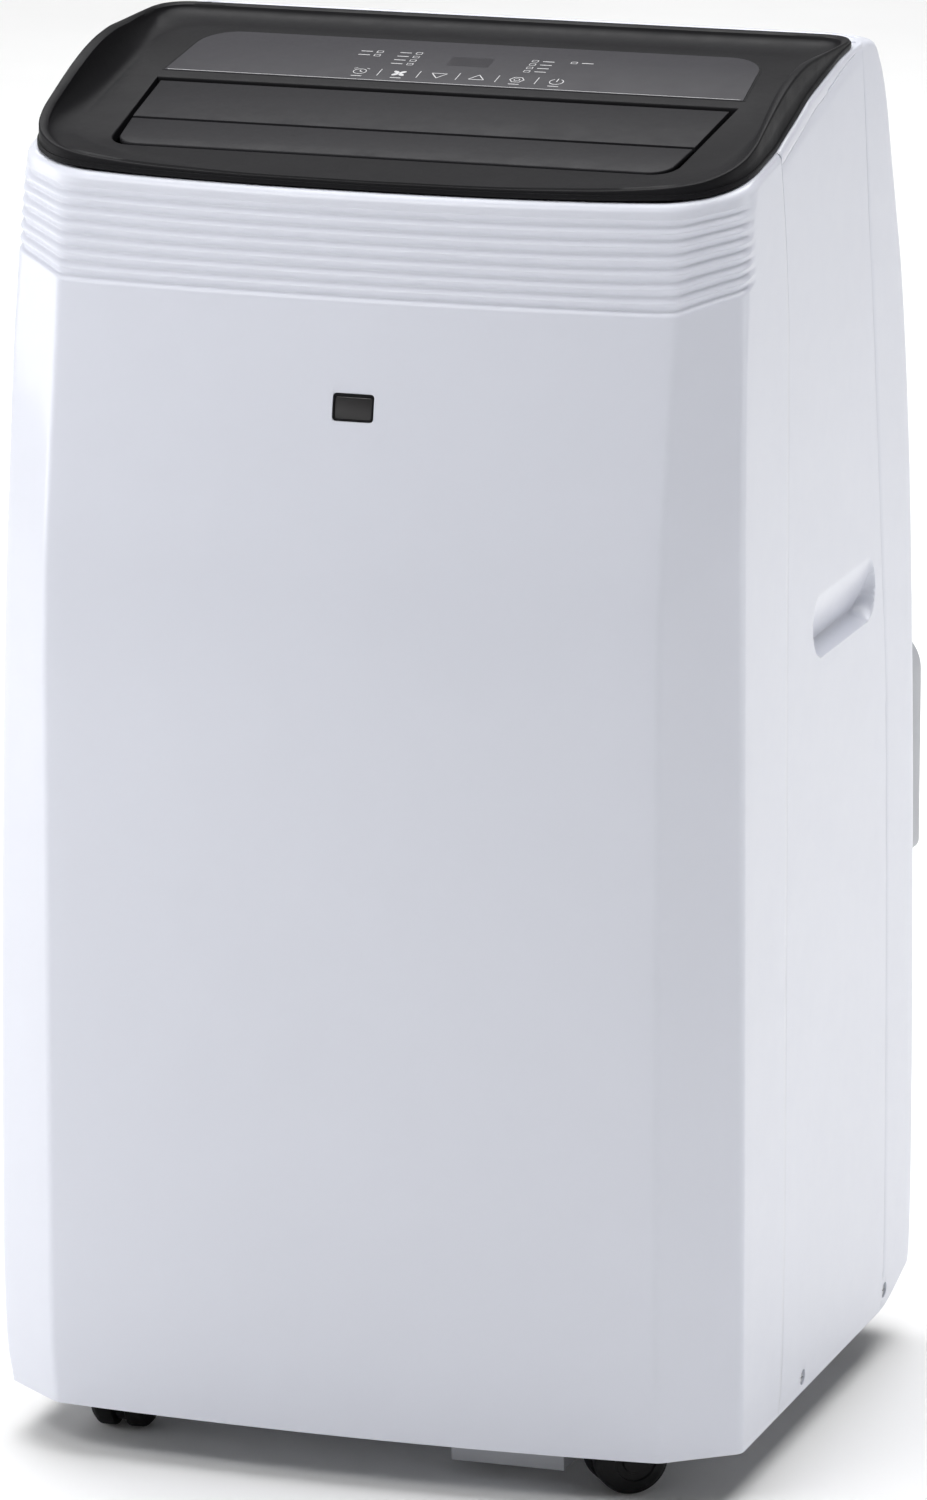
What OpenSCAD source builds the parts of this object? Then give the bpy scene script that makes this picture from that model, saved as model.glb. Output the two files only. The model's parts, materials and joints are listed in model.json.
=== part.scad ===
// Portable air conditioner: a floor-standing monobloc cooler on four swivelling twin-wheel casters.
// Front faces -Y, +X is the right-hand side seen from the front, +Z is up, and the floor is z = 0.
// Lengths "s" run from the front of the casing towards the back, and place() turns them into Y.

/* [Casing] */
// Height of the whole unit from the floor
unit_h = 700; // [690:1:710]
// Half of the casing's widest width
half_w = 195; // [192:1:198]
// Depth of the casing from the front's crown to the back wall
casing_d = 363; // [360:1:366]
// How far the exhaust outlet stands out of the back wall
outlet_proud = 22; // [18:1:26]
// Thickness of the moulded casing walls
wall = 3; // [2.5:0.5:3.5]
// Gap along the casing's seams
seam = 0.5; // [0.4:0.1:0.8]
// Lower edge of the casing above the floor
skirt_z = 26; // [25:1:27]
// Radius of the casing's rear corners, seen from above
rear_r = 22; // [20:1:26]
// How far the front bows out between its creases
front_bow = 8; // [6:1:10]

/* [Ribs] */
// Number of grooves across the top of the front
groove_count = 7; // [4:1:7]
// Height of the lowest groove
groove_z = 599; // [597:1:603]
// Distance between grooves
groove_pitch = 6.4; // [6:0.1:6.4]
// Depth of a groove
groove_depth = 1.2; // [0.8:0.1:1.5]

/* [Louvres] */
// How far the louvres open, in degrees, which sets the crank's resting angle
louvre_travel = 75; // [60:1:75]
// Length of the louvre cranks
louvre_crank = 9; // [9:0.5:10]
// Number of upright vanes below the louvres
vane_count = 5; // [5:1:5]
// Distance between upright vanes
vane_pitch = 55; // [50:1:56]

/* [Fans] */
// Radius of the cold-air blower's wheel
cold_wheel_r = 75; // [70:1:76]
// Radius of the condenser blower's wheel
warm_wheel_r = 68; // [64:1:69]
// Number of blades on each blower wheel
blade_count = 30; // [24:1:36]

/* [Casters] */
// Radius of a caster's wheels
caster_r = 19; // [18:0.5:19.5]
// Distance from the swivel axis to the axle
caster_trail = 12; // [10:0.5:12]
// Distance of the casters' swivel axes from the middle
caster_x = 140; // [138:1:141]

/* [Hidden] */
$fn = 48;
eps = 0.01;

white = [0.93, 0.94, 0.96];
black = [0.09, 0.09, 0.10];
dark = [0.16, 0.16, 0.17];
grey = [0.62, 0.64, 0.66];
steel = [0.72, 0.73, 0.75];
copper = [0.72, 0.43, 0.26];
nylon = [0.85, 0.85, 0.82];

total_d = casing_d + outlet_proud;

// Casing sections, each table running up from the skirt: distance of the creases, of the outer front edges and
// of the back wall from the front, and half of the width
crease_s = [[skirt_z, 15], [45, 11], [70, 8.5], [110, 8], [400, 8], [463, 11.5], [511, 19], [555, 27],
            [605, 36], [645, 41], [unit_h, 50]];
edge_s = [[skirt_z, 43], [45, 39], [70, 37], [110, 36], [260, 37], [409, 40.5], [507, 45.5], [594, 53],
          [645, 60], [unit_h, 68]];
back_s = [[skirt_z, casing_d - 2], [60, casing_d], [300, casing_d], [445, casing_d - 3], [505, casing_d - 7],
          [570, casing_d - 16], [600, casing_d - 24], [630, casing_d - 33], [668, casing_d - 44],
          [687, casing_d - 52], [696, casing_d - 61], [unit_h, casing_d - 78]];
side_x = [[skirt_z, half_w - 2], [50, half_w - 0.5], [107, half_w], [260, half_w - 1], [409, half_w - 3],
          [507, half_w - 5], [600, half_w - 7], [660, half_w - 8], [unit_h, half_w - 10]];
crease_x = 158.5;
levels = [skirt_z, 45, 70, 110, 260, 409, 463, 507, 555, 600, 630, 668, 687, 696, unit_h];
corner_steps = 6;

// Crest of the rim and its lower edge, from the front to the back, and the sloping floor of the control area
crest_z = [[20, 650.5], [37, 653.6], [48, 659.5], [60, 665], [70, 669], [80, 673], [90, 677], [100, 681],
           [120, 688.5], [140, 694.5], [160, 698.3], [180, unit_h], [300, unit_h]];
rim_low_z = [[20, 647], [36, 649.4], [48, 652.5], [60, 656], [88, 661.5], [112, 665.5], [131, 671], [150, 676.5], [172, 683.3],
             [190, 687], [210, 691], [229, 694.5], [256, 696.5], [300, 697]];
floor_slope = 0.2034;
function floor_z(s) = 660.5 + floor_slope * (s - 72);
floor_x = 170;
floor_rear_s = 229;
bezel_t = 4;
frame_t = 7;

side_seam_s = 120;
rear_seam_s = 285;
bezel_x = 184.5;
bezel_rear_s = 261.5;
bezel_half = [[55, 37], [110, 39.7], [145, 43.5], [160, 47], [170, 52], [177, 58.5], [181.5, 66.5], [184, 76],
              [bezel_x, 90], [bezel_x, 240], [183, 250], [178.5, 257.5], [170, bezel_rear_s]];

// Air outlet in the top, tapering a little towards the front: half widths and distances
mouth_rear = [151.8, 159];
mouth_front = [146, 68];
overlay_front = [151.3, 168];
overlay_rear = [148, 224.5];
axis_drop = 10;
rear_blade = [106.2, 154.5];
front_blade = [71, 104];
rear_blade_x = [148.3, 145.4];
front_blade_x = [145.2, 143];
blade_t = 3;
rib_x = 141;
crank_x = [146, 148.4];
link_x = 148.9;
link_t = 2;
pin_r = 2;
crank_pin_r = 1.5;
running_gap = 0.06;
duct_x = 153;
duct_base_z = 600;
duct_s = [67, 160];
vane_s = 113;
vane_crank = 20;
vane_base_z = 610;
vane_top_z = 636;

// Blowers
cold_z = 495;
cold_s = [100, 165];
warm_x = 75;
warm_z = 140;
warm_s = [236, 292];
tray_z = 384;

// Back of the casing
upper_mouth = [-140, 140, 412, 590];
lower_mouth = [-128, 128, 64, 236];
outlet_box = [22, 181, 251, 371];
exhaust_wall = 7;
spout_x = -130;
spout_z = 397;
spout_r = 8;
base_spout_x = -40;
base_spout_z = 37;
gland_x = -146;
gland_z = 120;
cord_r = 3.7;

// Grips in the sides
grip_s = [161, 273];
grip_z = [401, 434];
grip_r = (grip_z[1] - grip_z[0]) / 2;
grip_x = half_w - 16;

// Casters: name, side, distance from the front, and the way the wheels trail
casters = [["fl", -1, 57, 95], ["fr", 1, 57, -143], ["rl", -1, 305, 80], ["rr", 1, 305, 100]];
caster_face = 17;
boss_z = 38.5;
stem_top = 58.5;
hood_top = 42.5;
web_t = 5;
axle_r = 3;
stem_r = 5;
well_r = 38;
well_z = 44;

module place(s = 0) translate([0, s - total_d / 2, 0]) children();

// Half of the casing's outline at a height, pulled in by a wall's thickness, from the front to the back
function half_outline(z, in) =
    let (c = lookup(z, crease_s), e = lookup(z, edge_s), x = lookup(z, side_x), b = lookup(z, back_s))
    concat(
        [for (k = [0:4]) let (u = k / 4) [(crease_x - in * 0.4) * u, c + in - front_bow * (1 - u * u)]],
        [[x - in, e + in * 0.4]],
        [for (k = [0:corner_steps]) let (a = 90 * k / corner_steps)
            [x - rear_r + (rear_r - in) * cos(a), b - rear_r + (rear_r - in) * sin(a)]]);
function outline(z, in) =
    let (half = half_outline(z, in), n = len(half))
    concat(half, [for (k = [n - 1:-1:1]) [-half[k][0], half[k][1]]]);

// Casing filled solid, pulled in by a wall's thickness: rings of points joined by triangles
module casing_solid(in = 0) {
    n = len(outline(skirt_z, in));
    last = len(levels) - 1;
    points = [for (z = levels) for (p = outline(z, in)) [p[0], p[1], z]];
    sides = [for (k = [0:last - 1]) for (i = [0:n - 1])
        let (a = k * n + i, b = k * n + (i + 1) % n) each [[a, a + n, b + n], [a, b + n, b]]];
    ends = [[for (i = [0:n - 1]) i], [for (i = [n - 1:-1:0]) last * n + i]];
    polyhedron(points, concat(ends, sides));
}

module casing_shell() {
    difference() {
        casing_solid();
        translate([0, 0, -wall]) casing_solid(wall);
    }
}

// Slab between two curves, each raised by its own amount, from one distance to another
module curve_slab(s0, s1, low_curve, low, high_curve, high) {
    s_up = concat([s0], [for (p = high_curve) if (p[0] > s0 && p[0] < s1) p[0]], [s1]);
    s_down = concat([s0], [for (p = low_curve) if (p[0] > s0 && p[0] < s1) p[0]], [s1]);
    upper = [for (s = s_up) [s, lookup(s, high_curve) + high]];
    lower = [for (k = [len(s_down) - 1:-1:0]) [s_down[k], lookup(s_down[k], low_curve) + low]];
    side_prism(half_w + 5) polygon(concat(upper, lower));
}

// Slab that follows the rim's lower edge
module rim_slab(s0, s1, low, high) curve_slab(s0, s1, rim_low_z, low, rim_low_z, high);

// Extrudes an outline drawn in (s, z) across the casing, from -x to x
module side_prism(x) {
    rotate([90, 0, 90]) translate([0, 0, -x]) linear_extrude(2 * x) children();
}

module box(x0, x1, s0, s1, z0, z1) translate([x0, s0, z0]) cube([x1 - x0, s1 - s0, z1 - z0]);

// Plate with rounded corners: lower corners of radius r0 and upper ones of radius r1, drawn in (x, z)
module round_panel(x0, x1, z0, z1, r0, r1, s0, s1) {
    translate([0, s1, 0]) rotate([90, 0, 0]) linear_extrude(s1 - s0) union() {
        translate([x0 + r0, z0]) square([x1 - x0 - 2 * r0, z1 - z0]);
        translate([x0 + r1, z0 + r0]) square([x1 - x0 - 2 * r1, z1 - z0 - r0]);
        translate([x0, z0 + r0]) square([x1 - x0, z1 - z0 - r0 - r1]);
        for (x = [x0 + r0, x1 - r0]) translate([x, z0 + r0]) circle(r0);
        for (x = [x0 + r1, x1 - r1]) translate([x, z1 - r1]) circle(r1);
    }
}

// Rod along +Y from one distance to another
module rod_y(x, z, s0, s1, r, r2 = -1) {
    translate([x, s0, z]) rotate([-90, 0, 0]) cylinder(h = s1 - s0, r1 = r, r2 = r2 < 0 ? r : r2);
}

// Rod along X
module rod_x(x0, x1, s, z, r) translate([x0, s, z]) rotate([0, 90, 0]) cylinder(h = x1 - x0, r = r);

screw_z = 34;
side_screw_s = [148, 299];
rear_screws = [[-155, 90], [-155, 280], [155, 90], [155, 225], [-155, 390], [155, 395]];
screw_r = 2;
screw_head_r = 3.6;
screw_hole_r = 4.2;

// ---------------------------------------------------------------- casing
module front_panel() {
    color(white) place() difference() {
        intersection() {
            casing_shell();
            box(-half_w - 5, half_w + 5, -5, side_seam_s - seam, 0, unit_h);
        }
        rim_slab(-20, 300, -frame_t - seam, 60);
        for (k = [0:groove_count - 1]) groove(groove_z + k * groove_pitch);
        box(-11, 11, -5, 60, 538.3, 552.3);
    }
}

// Shallow channel round the front and its chamfers
module groove(z) {
    height = groove_pitch / 2 - 0.4;
    difference() {
        box(-half_w - 5, half_w + 5, -5, 60, z - height / 2, z + height / 2);
        translate([0, 0, z - height / 2]) linear_extrude(height) polygon(outline(z, groove_depth));
    }
}

module grip_pocket(in) {
    for (s = [grip_s[0] + grip_r, grip_s[1] - grip_r])
        translate([grip_x + in, s, grip_z[0] + grip_r])
            rotate([0, 90, 0]) cylinder(h = 40, r = grip_r - in, $fn = 32);
    box(grip_x + in, half_w + 20, grip_s[0] + grip_r, grip_s[1] - grip_r, grip_z[0] + in, grip_z[1] - in);
}

module right_side() {
    place() difference() {
        union() {
            intersection() {
                casing_shell();
                box(0, half_w + 5, side_seam_s, rear_seam_s - seam, 0, unit_h);
            }
            intersection() {
                casing_solid();
                grip_pocket(-2.5);
            }
        }
        rim_slab(-20, 300, -frame_t - seam, 60);
        grip_pocket(0);
        rod_x(half_w - 3.6, half_w + 5, side_screw_s[0], screw_z, screw_hole_r);
        rod_x(half_w - 10, half_w + 5, side_screw_s[0], screw_z, screw_r + 0.2);
    }
}
module right_side_panel() color(white) right_side();
module left_side_panel() color(white) mirror([1, 0, 0]) right_side();

module rear_cover() {
    color(white) place() difference() {
        intersection() {
            casing_shell();
            box(-half_w - 5, half_w + 5, rear_seam_s, casing_d + 5, 0, unit_h + 5);
        }
        // The lower edge rises towards the back
        side_prism(half_w + 5) polygon([[rear_seam_s, skirt_z - 5], [rear_seam_s + 8, skirt_z],
            [casing_d - 20, skirt_z + 13], [casing_d + 5, skirt_z + 22], [casing_d + 5, 0], [rear_seam_s, 0]]);
        window(upper_mouth);
        window(lower_mouth);
        round_panel(outlet_box[0] - 0.4, outlet_box[1] + 0.4, outlet_box[2] - 0.4, outlet_box[3] + 0.4,
            6.4, 23.4, casing_d - 45, casing_d + 5);
        rod_y(spout_x, spout_z, casing_d - 20, casing_d + 5, spout_r + 0.5);
        rod_y(gland_x, gland_z, casing_d - 20, casing_d + 5, 6.3);
        for (x = [-1, 1]) {
            rod_x(x > 0 ? half_w - 3.6 : -half_w - 5, x > 0 ? half_w + 5 : -half_w + 3.6,
                side_screw_s[1], screw_z + 2, screw_hole_r);
            rod_x(x > 0 ? half_w - 10 : -half_w - 5, x > 0 ? half_w + 5 : -half_w + 10,
                side_screw_s[1], screw_z + 2, screw_r + 0.2);
        }
        for (p = rear_screws) rod_y(p[0], p[1], casing_d - 20, casing_d + 5, screw_r + 0.2);
    }
}
module window(m) box(m[0], m[1], casing_d - 45, casing_d + 5, m[2], m[3]);

module top_frame() {
    inset = 0.4;
    color(white) place() difference() {
        intersection() {
            casing_solid();
            union() {
                rim_slab(20, rear_seam_s - seam, -frame_t, -inset);
                rim_slab(bezel_rear_s + seam, rear_seam_s - seam, -frame_t, unit_h);
            }
        }
        // Clear of the bezel's body and of everything that hangs below it
        linear_extrude(bezel_top_z) polygon(bezel_plan(frame_gap));
        box(-floor_x - 6, floor_x + 6, 60, bezel_rear_s + 2, 500, 690);
    }
}

module casing_screws() {
    color(steel) place() {
        for (x = [-1, 1])
            for (k = [0, 1]) {
                z = screw_z + 2 * k;
                shell = lookup(z, side_x) - wall + 0.3;
                rod_x(x > 0 ? shell + 1.2 : -shell - 2.6, x > 0 ? shell + 2.6 : -shell - 1.2, side_screw_s[k], z,
                    screw_head_r);
                rod_x(x > 0 ? 187 : -shell - 1.2, x > 0 ? shell + 1.2 : -187, side_screw_s[k], z, screw_r);
            }
        for (p = rear_screws) {
            wall_s = lookup(p[1], back_s);
            rod_y(p[0], p[1], wall_s + 0.2, wall_s + 1.8, screw_head_r, screw_head_r - 0.8);
            rod_y(p[0], p[1], wall_s - 10, wall_s + 0.2, screw_r);
        }
    }
}

// ---------------------------------------------------------------- top
bezel_top_z = unit_h + 50;
lip = 3.5;
frame_gap = lip - 0.5;
function bezel_point(k, in) = let (p = bezel_half[k]) [p[0] - in, p[1] + (p[1] < 150 ? in : -in)];
function bezel_plan(in) = let (n = len(bezel_half))
    concat([[0, 36 + in]], [for (k = [0:n - 1]) bezel_point(k, in)],
        [for (k = [n - 1:-1:0]) let (p = bezel_point(k, in)) [-p[0], p[1]]]);

// Slab that lies along the floor's slope, between two depths below it
module floor_slab(s0, s1, low, high) {
    side_prism(half_w) polygon([[s0, floor_z(s0) + low], [s1, floor_z(s1) + low],
        [s1, floor_z(s1) + high], [s0, floor_z(s0) + high]]);
}

// Outline between a square end and a rounded end, each given as half of its width and a distance
function rounded_end(square_end, round_end, r) =
    let (dir = round_end[1] > square_end[1] ? 1 : -1, n = 6)
    concat([[-square_end[0], square_end[1]]],
        [for (k = [0:n]) let (a = 90 * k / n)
            [-round_end[0] + r - r * cos(a), round_end[1] - dir * r + dir * r * sin(a)]],
        [for (k = [n:-1:0]) let (a = 90 * k / n)
            [round_end[0] - r + r * cos(a), round_end[1] - dir * r + dir * r * sin(a)]],
        [[square_end[0], square_end[1]]]);

// Space above the dish, which widens from the floor to the crest
dish_s = [34, 52, 60, 70, 80, 90, 100, 120, 140, 160, 180, 202];
dish_low_x = [[34, 150], [52, 162], [60, 167], [80, floor_x], [300, floor_x]];
dish_high_x = [[34, 152], [52, 168], [60, 176.5], [70, 181], [80, 182.6], [90, 183.3], [300, 183.3]];
dish_low_r = 27;
dish_high_r = 16;
dish_rear_s = bezel_rear_s - 1.5;
module dish_section(s) {
    low_x = lookup(s, dish_low_x);
    high_x = lookup(s, dish_high_x);
    high = lookup(s, crest_z) + eps;
    low = min(floor_z(s), high - 2 * eps);
    translate([0, s + eps, 0]) rotate([90, 0, 0]) linear_extrude(eps)
        polygon([[-low_x, low], [low_x, low], [high_x, high], [high_x, high + 20], [-high_x, high + 20],
            [-high_x, high]]);
}
module dish() {
    last = len(dish_s) - 1;
    for (k = [0:last - 1])
        hull() {
            dish_section(dish_s[k]);
            dish_section(dish_s[k + 1]);
        }
    // Rear end, where the floor's corners round off and the wall climbs to the crest
    hull() {
        dish_section(dish_s[last]);
        for (side = [-1, 1]) {
            translate([side * (floor_x - dish_low_r), floor_rear_s - dish_low_r, floor_z(floor_rear_s - dish_low_r)])
                rotate([atan(floor_slope), 0, 0]) cylinder(h = eps, r = dish_low_r, $fn = 32);
            translate([side * (bezel_x - 1.2 - dish_high_r), dish_rear_s - dish_high_r, unit_h + eps])
                cylinder(h = 20, r = dish_high_r, $fn = 32);
        }
    }
}

module top_bezel() {
    color(black) place() difference() {
        union() {
            // Lip that covers the frame, and the body inside the frame
            intersection() {
                linear_extrude(bezel_top_z) polygon(bezel_plan(0));
                curve_slab(20, 300, rim_low_z, 0, crest_z, 0);
            }
            intersection() {
                linear_extrude(bezel_top_z) polygon(bezel_plan(lip));
                curve_slab(20, 300, [[20, floor_z(20) - bezel_t], [300, floor_z(300) - bezel_t]], 0, crest_z, 0);
            }
        }
        dish();
        // Hollow under the rim's sides and back
        intersection() {
            box(-floor_x + 12, floor_x - 12, 60, bezel_rear_s - 37, 500, unit_h);
            floor_slab(0, 300, -100, -bezel_t);
        }
        translate([0, 0, 500]) linear_extrude(300) polygon(rounded_end(mouth_rear, mouth_front, 13));
        overlay_plate(0.3, -1.5, 1);
    }
}

module overlay_plate(gap, low, high) {
    intersection() {
        translate([0, 0, 600]) linear_extrude(150) polygon(rounded_end(
            [overlay_front[0] + gap, overlay_front[1] - gap], [overlay_rear[0] + gap, overlay_rear[1] + gap], 20));
        floor_slab(160, 230, low, high);
    }
}
module control_overlay() color(dark) place() overlay_plate(0, -1.4, 0.2);

module control_board() {
    color([0.10, 0.30, 0.16]) place() {
        intersection() {
            box(-125, 125, 172, 212, 600, 750);
            floor_slab(160, 225, -9.6, -8);
        }
    }
    // Key springs and light pipes between the board and the overlay
    color(nylon) place() for (k = [0:5]) {
        s = 180;
        translate([-75 + 30 * k, s, floor_z(s) - 7.9]) cylinder(h = 3.2, r = 4);
    }
}

module receiver_window() {
    color(black) place() translate([0, lookup(545.3, crease_s) - front_bow - 0.4, 545.3]) rotate([-10.5, 0, 0]) {
        round_panel(-10.5, 10.5, -6.5, 6.5, 1.6, 1.6, 0, 5);
    }
}

// ---------------------------------------------------------------- air outlet
function axis_s(blade) = (blade[0] + blade[1]) / 2;
function axis_z(blade) = floor_z(axis_s(blade)) - axis_drop;

module outlet_duct() {
    color(dark) place() {
        difference() {
            union() {
                for (side = [-1, 1])
                    box(side > 0 ? duct_x : -duct_x - 3, side > 0 ? duct_x + 3 : -duct_x, duct_s[0], duct_s[1] + 3,
                        duct_base_z, 690);
                box(-duct_x - 3, duct_x + 3, duct_s[0] - 3, duct_s[0] + eps, duct_base_z, 690);
                box(-duct_x - 3, duct_x + 3, duct_s[1], duct_s[1] + 3, duct_base_z, 690);
                box(-duct_x - eps, duct_x + eps, vane_s - 5, vane_s + 5, duct_base_z + 3, duct_base_z + 8);
            }
            floor_slab(0, 260, -bezel_t - 0.8, 100);
            for (blade = [front_blade, rear_blade])
                rod_x(-200, 200, axis_s(blade), axis_z(blade), pin_r + running_gap);
            for (k = [0:vane_count - 1]) translate([vane_x(k), vane_s, duct_base_z])
                cylinder(h = 12, r = pin_r + running_gap);
        }
    }
}

// Louvre blade that lies flush in the outlet, on end ribs that carry its pivots and a crank
module louver(blade, front) {
    axis = [0, axis_s(blade), axis_z(blade)];
    near = front ? front_blade_x : rear_blade_x;
    color(dark) place() {
        intersection() {
            translate([0, 0, 600]) linear_extrude(150) {
                if (front) polygon(rounded_end([near[0], blade[1]], [near[1], blade[0]], 12));
                else polygon([[-near[0], blade[1]], [near[0], blade[1]], [near[1], blade[0]], [-near[1], blade[0]]]);
            }
            floor_slab(blade[0] - 5, blade[1] + 5, -blade_t, -0.3);
        }
        for (side = [-1, 1]) {
            x0 = side > 0 ? rib_x - 3 : -rib_x;
            translate(axis) rotate([90, 0, 90]) translate([0, 0, x0]) linear_extrude(3) {
                polygon([[-4, 0], [4, 0], [9, 9 * floor_slope + axis_drop - blade_t + 0.5],
                    [-9, -9 * floor_slope + axis_drop - blade_t + 0.5]]);
                circle(4);
            }
            translate(axis) rod_x(side > 0 ? rib_x - eps : -duct_x - (front ? 3 : 6),
                side > 0 ? duct_x + 3 : eps - rib_x, 0, 0, pin_r);
        }
        // Crank on the right-hand pivot, outside the blade
        translate(axis) rotate([crank_angle(), 0, 0]) {
            box(crank_x[0], crank_x[1], -3, 3, -louvre_crank, 0);
            rod_x(crank_x[0], crank_x[1], 0, 0, 3.6);
            rod_x(crank_x[0], crank_x[1], 0, -louvre_crank, 3);
            rod_x(crank_x[1] - eps, link_x + link_t + 0.5, 0, -louvre_crank, crank_pin_r);
        }
    }
}
function crank_angle() = louvre_travel / 2;
module louver_front() louver(front_blade, true);
module louver_rear() louver(rear_blade, false);

module louver_link() {
    a = [axis_s(front_blade), axis_z(front_blade)];
    b = [axis_s(rear_blade), axis_z(rear_blade)];
    offset_s = louvre_crank * sin(crank_angle());
    offset_z = -louvre_crank * cos(crank_angle());
    length = norm(b - a);
    color(dark) place() difference() {
        translate([link_x, a[0] + offset_s, a[1] + offset_z]) rotate([atan2(b[1] - a[1], b[0] - a[0]), 0, 0]) {
            translate([0, 0, -3]) cube([link_t, length, 6]);
            rod_x(0, link_t, 0, 0, 3);
            rod_x(0, link_t, length, 0, 3);
        }
        rod_x(link_x - 1, link_x + 4, a[0] + offset_s, a[1] + offset_z, crank_pin_r + running_gap);
        // The far hole is wider, because the parallelogram is closed there
        rod_x(link_x - 1, link_x + 4, b[0] + offset_s, b[1] + offset_z, crank_pin_r + 0.2);
    }
}

module louver_motor() {
    color(steel) place() difference() {
        union() {
            rod_x(-duct_x - 15, -duct_x - 3.2, axis_s(rear_blade), axis_z(rear_blade), 5.4);
            box(-duct_x - 15, -duct_x - 3.2, axis_s(rear_blade) - 9, axis_s(rear_blade) + 9,
                axis_z(rear_blade) - 24, axis_z(rear_blade));
        }
        rod_x(-duct_x - 7, -duct_x - 3, axis_s(rear_blade), axis_z(rear_blade), pin_r + running_gap);
    }
}

function vane_x(k) = (k - (vane_count - 1) / 2) * vane_pitch;
module vane(k) {
    color(dark) place() translate([vane_x(k), vane_s, 0]) {
        translate([-1, -25, vane_base_z]) cube([2, 50, vane_top_z - vane_base_z]);
        translate([0, 0, vane_base_z]) cylinder(h = 3, r = 3.5);
        translate([0, 0, duct_base_z + 3]) cylinder(h = vane_base_z - duct_base_z - 3, r = pin_r);
        translate([0, vane_crank, vane_top_z]) cylinder(h = 5, r = crank_pin_r);
    }
}
module vane_1() vane(0);
module vane_2() vane(1);
module vane_3() vane(2);
module vane_4() vane(3);
module vane_5() vane(4);

module vane_link() {
    color(nylon) place() difference() {
        translate([vane_x(0), vane_s + vane_crank - 3, vane_top_z + 1])
            cube([vane_x(vane_count - 1) - vane_x(0), 6, 3]);
        for (k = [0:vane_count - 1]) translate([vane_x(k), vane_s + vane_crank, vane_top_z])
            cylinder(h = 6, r = crank_pin_r + (k == 2 ? running_gap : 0.2));
    }
    color(nylon) place() for (k = [0, vane_count - 1]) difference() {
        end = k == 0 ? -1 : 1;
        translate([vane_x(k), vane_s + vane_crank, vane_top_z + 1]) intersection() {
            cylinder(h = 3, r = 3);
            translate([end > 0 ? 0 : -3, -3, 0]) cube([3, 6, 3]);
        }
        translate([vane_x(k), vane_s + vane_crank, vane_top_z]) cylinder(h = 6, r = crank_pin_r + 0.2);
    }
}

// ---------------------------------------------------------------- blowers
// Spiral casing in (x, z) round a wheel, open at the top from the tongue to the outer wall
function spiral(r0, r1, from, turn) = [for (k = [0:18]) let (a = from - turn * k / 18, r = r0 + (r1 - r0) * k / 18)
    [r * cos(a), r * sin(a)]];

module cold_outline(in) {
    r = cold_wheel_r + 7 + in;
    polygon(concat([[duct_x + in, duct_base_z - cold_z]],
        spiral(r, r + 28, 50, 190), [[-duct_x - in, duct_base_z - cold_z]]));
}
module cold_scroll() {
    color(nylon) place() difference() {
        translate([0, cold_s[1], cold_z]) rotate([90, 0, 0]) linear_extrude(cold_s[1] - cold_s[0]) cold_outline(2.5);
        translate([0, cold_s[1] - 2.5, cold_z]) rotate([90, 0, 0])
            linear_extrude(cold_s[1] - cold_s[0] - 5) cold_outline(0);
        box(-duct_x, duct_x, cold_s[0] + 2.5, duct_s[1], duct_base_z - 10, duct_base_z + 1);
        rod_y(0, cold_z, cold_s[0] - 1, cold_s[0] + 5, 14);
        rod_y(0, cold_z, cold_s[1] - 5, cold_s[1] + 1, cold_wheel_r - 12);
    }
}

// Centrifugal wheel with its back disc at the motor's side, and its shaft
module blower_wheel(r, depth, shaft_l) {
    cylinder(h = 2, r = r);
    cylinder(h = 16, r = 11);
    translate([0, 0, depth - 3]) difference() {
        cylinder(h = 3, r = r);
        translate([0, 0, -1]) cylinder(h = 5, r = r - 9);
    }
    for (k = [0:blade_count - 1]) rotate(360 * k / blade_count) translate([r - 4.5, 0, 2])
        rotate(35) translate([-4, -0.5, 0]) cube([8, 1, depth - 4]);
    translate([0, 0, -shaft_l]) cylinder(h = shaft_l + 1, r = 4);
}
module cold_fan() {
    color(nylon) place() translate([0, cold_s[0] + 6, cold_z]) rotate([-90, 0, 0])
        blower_wheel(cold_wheel_r, cold_s[1] - cold_s[0] - 12, 12);
}
module motor(r, length) {
    difference() {
        union() {
            translate([0, 0, 3]) cylinder(h = length - 3, r = r);
            cylinder(h = 3, r1 = r - 3, r2 = r);
            translate([0, 0, length]) cylinder(h = 4, r = 12);
            for (a = [45:90:315]) rotate(a) translate([r - 2, -6, length - 12]) cube([12, 12, 4]);
        }
        translate([0, 0, length - 8]) cylinder(h = 20, r = 4 + running_gap);
    }
}
module cold_motor() {
    color(steel) place() translate([0, cold_s[0] - 52, cold_z]) rotate([-90, 0, 0]) motor(40, 48);
}

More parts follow.
